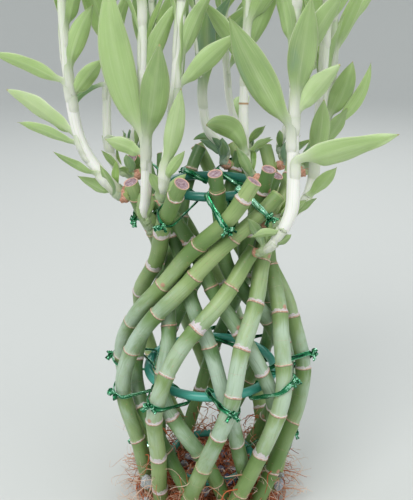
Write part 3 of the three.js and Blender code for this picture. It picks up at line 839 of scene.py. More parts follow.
@dataclass
class Cage:
    """The 18 woven canes, each a piece of its own.

    Its rings of points stand coarse apart between node rings and fine apart by them. Ridge, flare, pinch,
    peel and bud are how far each stands out. Peels lists how wide a peel can be, and odds how likely each
    is. Face lists the rings of a cut face: the share of the cane's radius that each has, and its height
    as a share of the bevel.
    """

    around: int = 40
    coarse: float = 2.6
    fine: float = 0.3
    ridge: float = 0.5
    flare: float = 0.3
    pinch: float = 0.22
    peel: float = 0.16
    bud: float = 0.8
    bud_share: float = 0.35
    peels: tuple[float, ...] = (0.4, 0.9, 2.2, 4.2)
    odds: tuple[float, ...] = (0.35, 0.3, 0.22, 0.13)
    bevel: float = 0.5
    lip: float = 0.15
    rough: float = 0.12
    face: tuple[tuple[float, float], ...] = (
        (1.0, 0.55), (0.985, 0.85), (0.95, 1.0), (0.9, 0.8), (0.84, 0.35), (0.7, 0.0), (0.5, -0.1),
        (0.3, -0.05), (0.12, 0.0),
    )
    seed: int = 7

    def stations(self, cane: Cane) -> Array:
        """Distances of the rings along a cane: close by its nodes, wide between them."""
        near = np.concatenate([np.arange(-3.0, 6.0, self.fine), (-7, -5, 7.5, 9)])
        close = (cane.nodes[:, None] + near).ravel()
        wide = np.arange(0, cane.line.length, self.coarse)
        end = cane.line.length - self.bevel * np.array([4.0, 2.0, 1.0])
        every = np.unique(np.round(np.concatenate([close, wide, end]), 2))
        every = every[(every >= 0) & (every <= end[-1])]
        keep = np.concatenate([[True], np.diff(every) > self.fine * 0.6])
        keep[-1] = True
        return every[keep]

    def side(self, cane: Cane, along: Array, angle: Array, draw: Draw) -> tuple[Array, dict[str, Array]]:
        """A cane's side, as values over distances along it and angles round it.

        Its radius is R + ridge(d) + flare(d) - pinch(d) + peel + bud + a slow drift, where R is the
        cane's girth, and d is the signed distance from the nearest node ring, itself tilted and waved
        round the cane. A peel is the ragged fringe that an old leaf left above its ring.

        Args:
            cane: the cane.
            along: distances of the rings of points, shaped (rings,).
            angle: angles of a ring's points, shaped (around,).
            draw: the random numbers of this cane.

        Returns:
            The radius, and the marks: d, the peel and the bud, each shaped (rings, around).
        """
        nodes = cane.nodes
        radius = cane.girth(cane.line.at(along)[:, 2])[:, None]
        nearest = np.abs(along[:, None] - nodes).argmin(1)
        tilt, turn = draw.uniform(0.1, 0.9, len(nodes)), draw.uniform(0, 2 * np.pi, (3, len(nodes)))
        first, second, third = turn[..., None]
        wave = tilt[:, None] * np.cos(angle - first) + 0.22 * np.sin(3 * angle + second)
        gap = along[:, None] - nodes[nearest][:, None] + wave[nearest]
        width = draw.choice(self.peels, len(nodes), p=self.odds)
        ragged = 0.5 * np.sin(5 * angle + third) + 0.35 * np.sin(11 * angle + second)
        ragged = (width[:, None] * (1 + 0.45 * ragged))[nearest]
        peel = ease(gap, 0.3, 0.8) * ease(ragged - gap, -0.25, 0.25)
        facing = draw.uniform(-0.6, 0.6, len(nodes)) + np.pi * (np.arange(len(nodes)) % 2)
        has_bud = draw.random(len(nodes)) < self.bud_share
        off = np.angle(np.exp(1j * (angle - facing[nearest][:, None]))) * radius
        bud = has_bud[nearest][:, None] * np.exp(-(((gap - 3.6) / 2.1) ** 2) - (off / 1.9) ** 2)
        drift = draw.uniform(0, 2 * np.pi, 4)
        slow = 0.09 * np.sin(along / 23 + drift[0]) + 0.06 * np.sin(along / 9 + drift[1])
        oval = 0.06 * np.cos(2 * angle + drift[2]) + 0.03 * np.sin(5 * angle + drift[3])
        skin = (
            radius
            + self.ridge * bell(gap, 0.1, 0.62)
            + self.flare * bell(gap, -2.2, 2.4)
            - self.pinch * bell(gap, 3.2, 2.6)
            + self.peel * peel
            + self.bud * bud
            + slow[:, None]
            + oval
        )
        return skin, {"ring": gap, "peel": peel, "bud": bud}

    def surface(self, cane: Cane, draw: Draw) -> Surface:
        """One cane: its side, then a cut face whose rings have shares of its radius and of the bevel.

        Args:
            cane: the cane.
            draw: the random numbers of this cane.

        Returns:
            The closed surface, with the marks that its finish reads.
        """
        line, nodes, angle = cane.line, cane.nodes, circle(self.around)
        along = self.stations(cane)
        skin, marks = self.side(cane, along, angle, draw)
        share, rise = np.array(self.face).T
        count = (len(share), self.around)
        rough = self.rough * draw.standard_normal(count) * (share < 0.97)[:, None]
        lip = cane.girth(cane.top) + self.lip
        reach = np.concatenate([skin, lip * share[:, None] * np.ones(self.around)])
        place = np.concatenate([along, np.full(len(share), line.length)])
        rings = swept(line, place, reach, self.around, unit(line.at(place) * (1, 1, 0)))
        push = self.bevel * rise[:, None] - self.bevel + rough
        push = np.concatenate([np.zeros((len(along), self.around)), push])
        rings = rings + push[..., None] * line.heading(place)[:, None]
        cut = np.concatenate([np.zeros(len(along)), [0.35], np.ones(len(share) - 1)])[:, None]
        tone = np.interp(place, np.append(nodes, line.length), draw.random(len(nodes) + 1))[:, None]
        grain = MM * xyz(reach * np.cos(angle), reach * np.sin(angle), place[:, None])
        grain = grain + (draw.uniform(0, 5), 0, 0)
        # Bloom, strongest at middle height; it is halved on the side of each cane that faces into the
        # cage, and cut on the inner canes, as painted shade.
        facing = 0.5 + 0.5 * np.cos(angle)
        belly = bell(rings[..., 2], 140, 75)
        wax = draw.uniform(0.7, 1.15) * (0.2 + 0.8 * belly) * (0.5 + 0.5 * facing)
        far = {"ring": 12.0, "peel": 0.0, "bud": 0.0}
        return Surface.tube(
            rings,
            grain=grain,
            stage=((place[:, None] - nodes[0]) % cane.internode) / cane.internode,
            tone=tone,
            wax=wax * (1.0 if cane.layer is OUTER else 0.85),
            cut=cut,
            rho=np.concatenate([np.ones(len(along)), share])[:, None],
            **{name: np.concatenate([marks[name], np.full(count, value)]) for name, value in far.items()},
        )

    def dress(self) -> None:
        """Builds every cane and puts it in the place of its node."""
        skins = {
            OUTER: (CaneSkin("outer_cane_skin").build(), "outer_cane"),
            # The inner canes' darker copy of the skin is painted shade inside the cage.
            INNER: (CaneSkin("inner_cane_shaded_skin", fresh="78995a", deep="466a35").build(), "inner_cane"),
        }
        for number, cane in enumerate(CANES.values()):
            finish, slot = skins[cane.layer]
            surface = self.surface(cane, np.random.default_rng(self.seed + number))
            surface.put(f"{cane.name}_stalk", finish, slot, cane.name)


# ---------------------------------------------------------------- hoops
@dataclass(frozen=True)
class Hoop:
    """A ring of plastic tube that the canes are tied to: its height, its radius, its tube's radius, and
    how much its painted light pales it."""

    name: str
    z: float
    radius: float
    tube: float
    fade: float
    wobble: float = 0.25
    around: int = 144
    sides: int = 24

    def points(self, bearing: Array) -> Array:
        """Its middle line at bearings."""
        return polar(bearing, self.radius, self.z)

    def surface(self, draw: Draw) -> Surface:
        """Rings of a torus: (R + r cos a) outward + r sin a up, with a slow wobble in R, r and z."""
        bearing = np.linspace(0, 360, self.around, endpoint=False)[:, None]
        angle = circle(self.sides)
        turn = np.radians(bearing)
        phase = draw.uniform(0, 2 * np.pi, 3)
        tube = self.tube * (0.97 + 0.015 * np.sin(5 * turn + phase[0]))
        out = self.radius + self.wobble * np.sin(3 * turn + phase[1]) + tube * np.cos(angle)
        z = self.z + self.wobble * np.sin(2 * turn + phase[2]) + tube * np.sin(angle)
        grain = MM * xyz(tube * np.cos(angle), tube * np.sin(angle), turn * self.radius)
        return Surface.hoop(polar(bearing, out, z), grain=grain, fade=self.fade)


# The last number of each hoop is its painted light: the middle hoop painted pale as if lit, the top one
# dark as if shaded.
HOOPS = {
    hoop.name: hoop
    for hoop in (
        Hoop("hoop_bottom", 32, 36.2, 3.4, 0.2),
        Hoop("hoop_middle", 125, 53.5, 3.7, 0.6),
        Hoop("hoop_top", 283, 35.5, 3.5, 0.0),
    )
}


@dataclass
class HoopSet:
    """The three hoops, each a piece of its own."""

    seed: int = 0

    def dress(self) -> None:
        """Builds every hoop and puts it in the place of its node."""
        plastic = HoopPlastic("hoop_plastic_skin").build()
        for number, hoop in enumerate(HOOPS.values()):
            surface = hoop.surface(np.random.default_rng(self.seed + number))
            surface.put(f"{hoop.name}_tube", plastic, "hoop_plastic", hoop.name)


# ---------------------------------------------------------------- twist ties
@dataclass(frozen=True)
class Tie:
    """A foil tie: its hoop, the canes that it holds, its bearing, its drop and its slant."""

    name: str
    hoop: str
    canes: tuple[str, ...]
    bearing: float
    drop: float
    slant: float


TIES = (
    Tie("tie_middle_01", "hoop_middle", ("cane_outer_02", "cane_inner_01"), -71, 2, -24),
    Tie("tie_middle_02", "hoop_middle", ("cane_outer_03", "cane_inner_02"), -34, -3, -22),
    Tie("tie_middle_03", "hoop_middle", ("cane_outer_04", "cane_inner_03"), 10, -3, -25),
    Tie("tie_middle_04", "hoop_middle", ("cane_outer_05", "cane_inner_04"), 46, -9, 25),
    Tie("tie_middle_05", "hoop_middle", ("cane_outer_06", "cane_inner_05"), 80.5, -12, -36),
    Tie("tie_middle_06", "hoop_middle", ("cane_outer_07", "cane_inner_06"), 123, -2, 25),
    Tie("tie_middle_07", "hoop_middle", ("cane_inner_07",), 171, 0, 18),
    Tie("tie_middle_08", "hoop_middle", ("cane_outer_01",), -99, -5, -36),
    Tie("tie_top_01", "hoop_top", ("cane_outer_09", "cane_inner_03"), -83, 21, -35),
    Tie("tie_top_02", "hoop_top", ("cane_outer_10",), -30, 16, -45),
    Tie("tie_top_03", "hoop_top", ("cane_outer_01", "cane_inner_05"), 10, 12, -40),
    Tie("tie_top_04", "hoop_top", ("cane_outer_02", "cane_inner_06"), 41, 9, -40),
    Tie("tie_top_05", "hoop_top", ("cane_inner_08", "cane_outer_06"), 156, 0, 30),
    Tie("tie_top_06", "hoop_top", ("cane_inner_01",), 202, 0, 30),
    Tie("tie_bottom_01", "hoop_bottom", ("cane_inner_08", "cane_outer_01"), 260, -6, 30),
    Tie("tie_bottom_02", "hoop_bottom", ("cane_inner_04", "cane_outer_07"), 84, -6, 30),
)


@dataclass
class Foil:
    """The foil ties, each a pleated band, a knot of folded loops and two flared ends.

    A band feels its canes as far as crossing above and below its hoop, holds them with some slack, and
    bears on what lies within its grip. Facet is the step between its rings of points.
    """

    width: float = 5.2
    thickness: float = 1.3
    clearance: float = 0.2
    facet: float = 2.4
    around: int = 12
    crossing: float = 30
    slack: float = 0.35
    grip: float = 2.2
    knot: float = 3.4
    loops: int = 7
    tail: float = 7.5
    flare: tuple[float, float] = (0.7, 2.3)
    strip_rings: int = 12
    strip_sides: int = 8
    seed: int = 40

    def band(self, tie: Tie) -> tuple[Array, Array, Array]:
        """The closed way of a band, pulled tight round its hoop and canes.

        For each direction in the band's plane the way takes the furthest point of the skins that lie
        within its grip, moved out by the clearance; then it is read at even steps.

        Args:
            tie: the tie.

        Returns:
            The way's points, the normal of the band's plane, and the middle of the band's outer side.
        """
        hoop = HOOPS[tie.hoop]
        origin = polar(tie.bearing, hoop.radius, hoop.z)
        axis = unit(polar(tie.bearing, hoop.radius + 20, hoop.z - tie.drop) - origin)
        tangent = polar(tie.bearing + 90, 1, 0)
        slant = math.radians(tie.slant)
        cross = tangent * math.cos(slant) + unit(np.cross(axis, tangent)) * math.sin(slant)
        normal = unit(np.cross(axis, cross))
        rods = [(Line(hoop.points(tie.bearing + np.linspace(-50, 50, 100))), hoop.tube)]
        for name in tie.canes:
            cane = CANES[name]
            z = np.linspace(hoop.z - self.crossing, min(hoop.z + self.crossing, cane.top), 140)
            rods.append((Line(cane.centre(z)), float(cane.girth(hoop.z)) + self.slack))
        skin = np.concatenate([
            swept(rod, np.linspace(0, rod.length, 200), np.full(200, radius), 24, normal).reshape(-1, 3)
            for rod, radius in rods
        ])
        skin = skin[np.abs((skin - origin) @ normal) < self.grip] - origin
        turn = circle(360)[:, None]
        look = np.cos(turn) * axis + np.sin(turn) * cross
        furthest = skin[(skin @ look.T).argmax(0)]
        plane = furthest - (furthest @ normal)[:, None] * normal
        way = origin + plane + look * (self.clearance + self.thickness / 2)
        line = Line(np.vstack([way, way[:1]]))
        steps = int(line.length / self.facet)
        points = line.at(np.linspace(0, line.length, steps, endpoint=False))
        return points, normal, way[np.arange(-4, 5)].mean(0)

    def ribbon(self, points: Array, half: Array | float, draw: Draw) -> Surface:
        """A flat pleated strip: radius half sqrt(cos^2 a + 0.03) at an angle a that turns as it goes.

        Args:
            points: what its middle line passes through.
            half: half its width, one for all or one for each of its rings.
            draw: the random numbers of this tie.

        Returns:
            The closed surface.
        """
        line = Line.through(points)
        share = np.linspace(0, 1, self.strip_rings)
        twist = draw.uniform(-1, 1) * share + draw.uniform(0, 3)
        flat = circle(self.strip_sides) - twist[:, None]
        radius = (half * np.ones(self.strip_rings))[:, None] * np.sqrt(np.cos(flat) ** 2 + 0.03)
        rings = swept(line, share * line.length, radius, self.strip_sides, unit(draw.standard_normal(3)))
        rings += 0.1 * draw.standard_normal(rings.shape)
        # Painted glints and painted shade, at random for each side of a strip.
        tone = 0.7 * draw.random(self.strip_sides) + 0.3 * draw.random(rings.shape[:2])
        return Surface.tube(rings, tone=tone)

    def surface(self, tie: Tie, draw: Draw) -> Surface:
        """A tie: its band has a flat oval section with lengthwise pleats, and its width wanders along it.

        Args:
            tie: the tie.
            draw: its random numbers.

        Returns:
            The surface of all its parts.
        """
        points, normal, outer = self.band(tie)
        heading = unit(np.roll(points, -1, axis=0) - np.roll(points, 1, axis=0))
        out = unit(np.cross(heading, normal))
        centre = points.mean(0)
        out *= np.sign(((points - centre) * out).sum(-1).mean())
        turn, angle = circle(len(points))[:, None], circle(self.around)
        phase = draw.uniform(0, 2 * np.pi, 3)
        gather = 0.42 + 0.06 * np.sin(5 * turn + phase[0]) + 0.04 * np.sin(11 * turn + phase[1])
        pleat = 1 + 0.22 * draw.choice((-1.0, 1.0), self.around)
        wide = self.width * gather * np.cos(angle)
        high = self.thickness * 0.5 * pleat * (1 + 0.15 * np.sin(8 * turn + phase[2])) * np.sin(angle)
        rings = points[:, None] + wide[..., None] * normal + high[..., None] * out[:, None]
        rings += 0.07 * draw.standard_normal(rings.shape)
        # Painted light of the pleats: a random glint or shade for each pleat round the band, waving along
        # it.
        painted_pleat_light = 0.5 + 0.5 * np.sin(6 * turn + 9 * draw.random(self.around))
        tone = 0.55 * draw.random(self.around) + 0.3 * painted_pleat_light + 0.15 * draw.random(rings.shape[:2])
        away = unit((outer - centre) * (1, 1, 0.3))
        return Surface.joined([Surface.hoop(rings, tone=tone), *self.strips(outer, away, draw)])

    def strips(self, outer: Array, away: Array, draw: Draw) -> list[Surface]:
        """The loops of a knot, each out from its heart and back, and the two ends that flare.

        Args:
            outer: the middle of the band's outer side.
            away: the direction that the knot stands out in.
            draw: the random numbers of this tie.

        Returns:
            The strips.
        """
        parts = []
        aside = unit(np.cross(UP, away))
        heart = outer + away * self.knot * 0.3
        for _ in range(self.loops):
            lean = unit(away * 0.6 + aside * draw.uniform(-1.4, 1.4) + UP * draw.uniform(-0.9, 0.9))
            cross = unit(np.cross(lean, draw.standard_normal(3)))
            reach = self.knot * draw.uniform(0.9, 1.5)
            ways = heart + np.array((0.0, 0.6, 1.0, 0.6, 0.0))[:, None] * lean * reach
            ways += np.array((-0.3, 1.0, 0.0, -1.0, 0.3))[:, None] * cross * reach * 0.32
            parts.append(self.ribbon(ways, draw.uniform(0.9, 1.5), draw))
        for sign in (-1.0, 1.0):
            lean = unit(away * draw.uniform(0.2, 0.7) + sign * aside + UP * draw.uniform(-1.0, 0.0))
            reach = self.tail * draw.uniform(0.7, 1.0)
            ends = np.array([heart, heart + lean * reach * 0.5, heart + lean * reach - UP * 0.8])
            parts.append(self.ribbon(ends, np.linspace(*self.flare, self.strip_rings), draw))
        return parts

    def dress(self) -> None:
        """Builds every tie."""
        foil = TieFoil("tie_foil_skin").build()
        for number, tie in enumerate(TIES):
            surface = self.surface(tie, np.random.default_rng(self.seed + number))
            surface.put(f"{tie.name}_foil", foil, "tie_foil", tie.name, is_smooth=False)


# ---------------------------------------------------------------- roots
@dataclass
class Roots:
    """The matted bare roots: a lumpy core, dark as painted shade, roots woven over it, a loose thatch,
    strays that leave the edge, and the roots of each cane.

    Flat is the radius of the underside, and reach how far the main roots run. Main, side_roots, woven,
    loose, per_cane and tangle count the roots of each kind, and bends the points of a woven one. Hidden
    is the share of a cane's roots that tangle inside the cage. No strand comes lower than ground.
    """

    radius: float = 70
    height: float = 19
    flat: float = 62
    main: int = 16
    main_thick: float = 0.95
    side_roots: int = 3
    side_thick: float = 0.35
    reach: float = 90
    rise: float = 18
    part_seed: int = 11
    woven: int = 620
    bends: int = 7
    loose: int = 150
    per_cane: int = 26
    hidden: float = 0.62
    tangle: int = 520
    sides: int = 6
    ground: float = 0.05
    seed: int = 90

    def core(self) -> Surface:
        """A low mat: its side profile (r, z) turned round the axis.

        Its rim is waved by sines of the bearing that grow with r, and lumps rise on its top where z > 5.

        Returns:
            The closed surface.
        """
        profile = np.array([
            [0.5, 0], [30, 0], [self.flat - 6, 0], [self.flat - 2, 0.5], [self.radius - 7, 3],
            [self.radius - 7, 7], [self.radius - 9, 11], [self.radius - 13, self.height - 5],
            [self.radius - 17, self.height - 3], [48, self.height - 3], [32, self.height - 3],
            [16, self.height - 2], [2, self.height - 2],
        ])
        bearing = np.linspace(0, 360, 180, endpoint=False)
        turn = np.radians(bearing) - np.pi / 2
        out, high = profile[:, :1], profile[:, 1:]
        share = out / self.radius
        wide = np.sin(5 * turn) + np.sin(8 * turn + 1)
        wave = 1 + 0.035 * share * wide + 0.015 * share * np.sin(23 * turn)
        lumps = 0.9 * np.sin(out / 3.1 + 3 * turn) * np.sin(11 * turn) + 0.6 * np.sin(37 * turn)
        rings = polar(bearing, out * wave, high + lumps * (high > 5))
        # The core's dark tone is painted shade of the inside of the mat.
        return Surface.tube(rings, tone=0.1, run=0.0)

    def strand(self, way: Array, thick: float, tone: float, pale: float) -> Surface:
        """A root: a thin bar of radius thick (1 - 0.6 s) (1 + 0.14 sin(31 s)) along a few points.

        Args:
            way: the points.
            thick: its radius at its start.
            tone: 0 dark to 1 light.
            pale: how pale its tip is.

        Returns:
            The closed surface, which stays above the ground.
        """
        line = Line.through(way, 6)
        share = np.linspace(0, 1, 4 + 3 * len(way))
        radius = thick * (1 - 0.6 * share) * (1 + 0.14 * np.sin(share * 31 + thick * 90))
        rings = swept(line, share * line.length, radius, self.sides, np.array([0.3, 0.2, 1.0]))
        rings[..., 2] = np.maximum(rings[..., 2], self.ground)
        return Surface.tube(rings, tone=tone, run=(share * pale)[:, None])

    def mains(self, draw: Draw) -> list[Surface]:
        """The part's 16 long roots, each with a few side roots."""
        steps = Steps(self.part_seed)
        strands = []
        for i in range(self.main):
            bearing = 360 * (i + 0.6 * steps()) / self.main
            far = self.reach - 12 * steps()
            start = 5 + 9 * steps()
            end = 2.5 + self.rise * steps() ** 2
            bow = 14 * (steps() - 0.5)
            middle = polar(bearing + bow * 0.6, (self.radius + far) / 2, (start + end) / 2 + 2)
            foot, tip = polar(bearing, self.radius - 7, start), polar(bearing + bow, far, end)
            strands.append(self.strand(np.array([foot, middle, tip]), self.main_thick, 0.8, 0.9))
            for _ in range(self.side_roots):
                root = middle + draw.uniform(-5, 5, 3) * (1, 1, 0.2)
                aim = polar(bearing + draw.uniform(-70, 70), draw.uniform(8, 18), draw.uniform(-3, 6))
                tip = root + aim
                tip[2] = max(tip[2], 0.8)
                bend = (root + tip) / 2 + draw.uniform(-3, 3, 3) * (1, 1, 0.4)
                way = np.array([root, bend, tip])
                strands.append(self.strand(way, self.side_thick, 0.95, 1.0))
        return strands

    def weave(self, draw: Draw) -> list[Surface]:
        """Roots that wander over the mat: the bearing and radius of each drift as it lies on the skin."""
        strands = []
        for _ in range(self.woven):
            drift = draw.uniform(-60, 60) * np.linspace(0, 1, self.bends)
            bearing = draw.uniform(0, 360) + np.cumsum(draw.normal(0, 9, self.bends)) + drift
            out = draw.uniform(15, 66) + np.cumsum(draw.normal(0, 4.5, self.bends))
            out = np.clip(out, 6, self.radius - 2)
            top = self.height - 2.5 + 2.5 * draw.random(self.bends)
            side = np.clip((self.radius - 3 - out) / 9, 0, 1)
            z = np.where(side < 1, 1.5 + (top - 1.5) * side * draw.uniform(0.4, 1.0), top)
            share = out.mean() / self.radius
            thick = draw.uniform(0.25, 0.95) * (1.1 - 0.45 * share)
            # Paler towards the rim: the darker tone further in is painted shade.
            tone = draw.uniform(0.05, 0.75) + 0.3 * share**2
            strands.append(self.strand(polar(bearing, out, z), thick, tone, 0.4))
        return strands

    def stray(self, draw: Draw) -> list[Surface]:
        """Fine loose roots that leave the mat's edge and curl out over the surface or up."""
        strands = []
        for _ in range(self.loose):
            bearing = draw.uniform(0, 360)
            start = polar(bearing, draw.uniform(54, 66), draw.uniform(5, 19))
            turn = bearing + draw.normal(0, 18)
            end = polar(turn, draw.uniform(72, 92), max(0.6, draw.normal(8, 11)))
            middle = (start + end) / 2 + draw.normal(0, 3.5, 3)
            curl = end + polar(turn + draw.choice([-90, 90]), draw.uniform(1, 9), draw.uniform(-2, 5))
            way = np.array([start, middle, end, curl])
            way[:, 2] = np.maximum(way[:, 2], 0.6)
            strands.append(self.strand(way, draw.uniform(0.14, 0.34), draw.uniform(0.7, 1.1), 1.0))
        return strands

    def thatch(self, draw: Draw) -> list[Surface]:
        """Roots tangled loosely inside the ring of canes, over the mat, its glass and the bottom hoop."""
        strands = []
        for _ in range(self.tangle):
            out = 64 * math.sqrt(draw.random())
            start = polar(draw.uniform(0, 360), out, self.height + draw.uniform(-2, 20) * (1 - out / 80))
            lift = draw.uniform(0, 0.42 * (78 - out)) * draw.random()
            end = start + polar(draw.uniform(0, 360), draw.uniform(8, 26), lift * draw.uniform(-0.2, 1))
            middle = (start + end) / 2 + draw.normal(0, 3.5, 3) + UP * lift
            way = np.array([start, middle, end, end + draw.normal(0, 3, 3)])
            strands.append(self.strand(way, draw.uniform(0.18, 0.55), draw.uniform(0.2, 0.9), 0.7))
        return strands

    def from_canes(self, draw: Draw) -> list[Surface]:
        """Roots that break out of each cane's foot. Most tangle inside the ring of canes, where they are
        thickest, and the others curl out."""
        strands = []
        for cane in CANES.values():
            for _ in range(self.per_cane):
                z = LEVELS[0] + 10 + 46 * draw.random() ** 1.9
                heart = cane.centre(z)
                outward = unit(heart * (1, 1, 0))
                inward = draw.random() < self.hidden
                aim = unit(np.array([*draw.normal(0, 0.8, 2), 0.0]) + outward * (-0.8 if inward else 0.8))
                start = heart + aim * cane.layer.cane_radius * 0.9
                length = draw.uniform(6, 22)
                bend = start + aim * length * 0.5 + draw.normal(0, 2.2, 3) + UP * draw.uniform(-2, 2.5)
                end = start + aim * length + draw.normal(0, 4, 3) - UP * draw.uniform(0, 12)
                way = np.array([start, bend, end, end + draw.normal(0, 3.5, 3)])
                way[:, 2] = np.maximum(way[:, 2], 1.0)
                thick = draw.uniform(0.2, 0.65) if inward else draw.uniform(0.14, 0.36)
                # Roots inside the ring of canes are set darker, as painted shade.
                strands.append(self.strand(way, thick, draw.uniform(0.2, 1.0) + 0.25 * (not inward), 0.9))
        return strands

    def dress(self) -> None:
        """Builds the core and the kinds of strands, which stand for the mat's node between them."""
        bark = RootBark("root_bark").build()
        draw = np.random.default_rng(self.seed)
        self.core().put("root_core", bark, "root", "root_mass")
        kinds = {
            "roots_loose": self.mains(draw) + self.stray(draw),
            "roots_thatch": self.thatch(draw),
            "roots_woven": self.weave(draw),
        }
        for name, strands in kinds.items():
            Surface.joined(strands).put(name, bark, "root", "root_mass")
        Surface.joined(self.from_canes(draw)).put("roots_of_canes", bark, "root")


# ---------------------------------------------------------------- glass chips
@dataclass
class Chips:
    """Broken glass: a heap in the middle of the roots, and strays caught among the feet of the canes.

    Showing lists the middle (x, y, z), the size and the tone of the chips that show between the canes.
    """

    base: float = 19.0
    heap_radius: float = 25.0
    heap: int = 17
    strays: int = 14
    cuts: int = 8
    turn: float = 137.5
    seed: int = 60
    showing: tuple[tuple[float, float, float, float, float], ...] = (
        (-57, -35, 31, 7.6, 0.1), (-55, -44, 20, 4.6, 0.2), (0, -28, 32, 4.8, 0.05),
        (14, -32, 31, 6.4, 1.0), (21, -30, 31, 4.8, 0.85), (-5, -44, 28, 6.0, 0.45),
        (58, -34, 28, 5.4, 0.35), (61, -20, 27, 4.6, 0.2), (-20, 10, 24, 5.0, 0.5),
        (12, 14, 24, 5.0, 0.7), (-30, -20, 22, 4.6, 0.2), (34, -8, 22, 5.0, 0.4),
    )

    def chip(self, centre: Array, size: float, draw: Draw, tone: float) -> Surface:
        """A ball cut flat by random planes: where p.n > d, the point drops back to the plane.

        Args:
            centre: its middle.
            size: the ball's radius before it is cut and squeezed.
            draw: the random numbers.
            tone: 0 clear to 1 violet.

        Returns:
            The closed surface.
        """
        tilt, spin = np.linspace(0.15, np.pi - 0.15, 9)[:, None], circle(14)
        ball = xyz(np.sin(tilt) * np.cos(spin), np.sin(tilt) * np.sin(spin), np.cos(tilt))
        for normal in unit(draw.standard_normal((self.cuts, 3))):
            over = np.maximum(ball @ normal - draw.uniform(0.42, 0.75), 0)
            ball = ball - over[..., None] * normal
        turned = ball * draw.uniform(0.6, 1.1, 3) @ np.linalg.qr(draw.standard_normal((3, 3)))[0]
        return Surface.tube(centre + turned * size, tone=tone)

    def dress(self) -> None:
        """Builds the heap and the strays."""
        glass = ChipGlass("chip_glass_skin").build()
        draw = np.random.default_rng(self.seed)
        heap = []
        for i in range(self.heap):
            out = self.heap_radius * math.sqrt((i + 0.5) / self.heap)
            z = self.base + 2.5 + 3.0 * (1 - (out / self.heap_radius) ** 2)
            size = draw.uniform(3.6, 6.6)
            heap.append(self.chip(polar(self.turn * i, out, z), size, draw, draw.random() ** 1.5))
        Surface.joined(heap).put("chips_heap", glass, "chip_glass", "glass_chips", is_smooth=False)
        strays = [self.chip(np.array(place), size, draw, tone) for *place, size, tone in self.showing]
        for i in range(self.strays):
            out, lift = draw.uniform(33, 60), draw.uniform(0, 3)
            place = polar(360 * (i + draw.random()) / self.strays, out, self.base + lift)
            strays.append(self.chip(place, draw.uniform(2.6, 4.2), draw, draw.random()))
        Surface.joined(strays).put("chips_stray", glass, "chip_glass", is_smooth=False)


# ---------------------------------------------------------------- shoots
@dataclass(frozen=True)
class Leaf:
    """One leaf.

    Place is the share of the stem's length where it leaves it. It starts at rise degrees from level and
    bends down by droop degrees towards its tip. Cup and belly say how hollow its blade is and where it
    is widest, tone how light it is, and blanch how white its foot is.
    """

    place: float
    bearing: float
    length: float
    width: float
    rise: float
    droop: float
    sheath: float = 12.0
    twist: float = 0.0
    tone: float = 0.0
    cup: float = 0.6
    belly: float = 0.5
    blanch: float = 1.0


@dataclass(frozen=True)
class Shoot:
    """A leafy shoot.

    It grows from a cane, so far below its cut, with its stem's radius and way, and its leaves. Shade is
    how light its leaves are, set lower on the shoots at the back as painted shade; rings are the shares of
    its stem with a node line, and foot is how thick the stem starts, as a share of its radius.
    """

    name: str
    cane: str
    below: float
    radius: float
    way: tuple[Point, ...]
    leaves: tuple[Leaf, ...]
    shade: float = 0.6
    rings: tuple[float, ...] = ()
    foot: float = 0.85

    @cached_property
    def line(self) -> Line:
        """The stem's middle line: square out of the cane's heart, then along its way."""
        host = CANES[self.cane]
        z = host.top - self.below
        heart = host.centre(z)
        grain = unit(host.centre(z + 1) - host.centre(z - 1))
        way = np.array(self.way, float)
        leave = way[0] - heart
        leave = unit(leave - (leave @ grain) * grain)
        radius = host.layer.cane_radius
        return Line.through(np.vstack([heart + 0.6 * radius * leave, heart + 1.8 * radius * leave, way]))

    def stem_radius(self, share: Array | float) -> Array:
        """The stem's radius at a share of its length."""
        share = np.asarray(share)
        return self.radius * (0.96 - 0.4 * share) * (self.foot + (1 - self.foot) * ease(share, 0.02, 0.28))
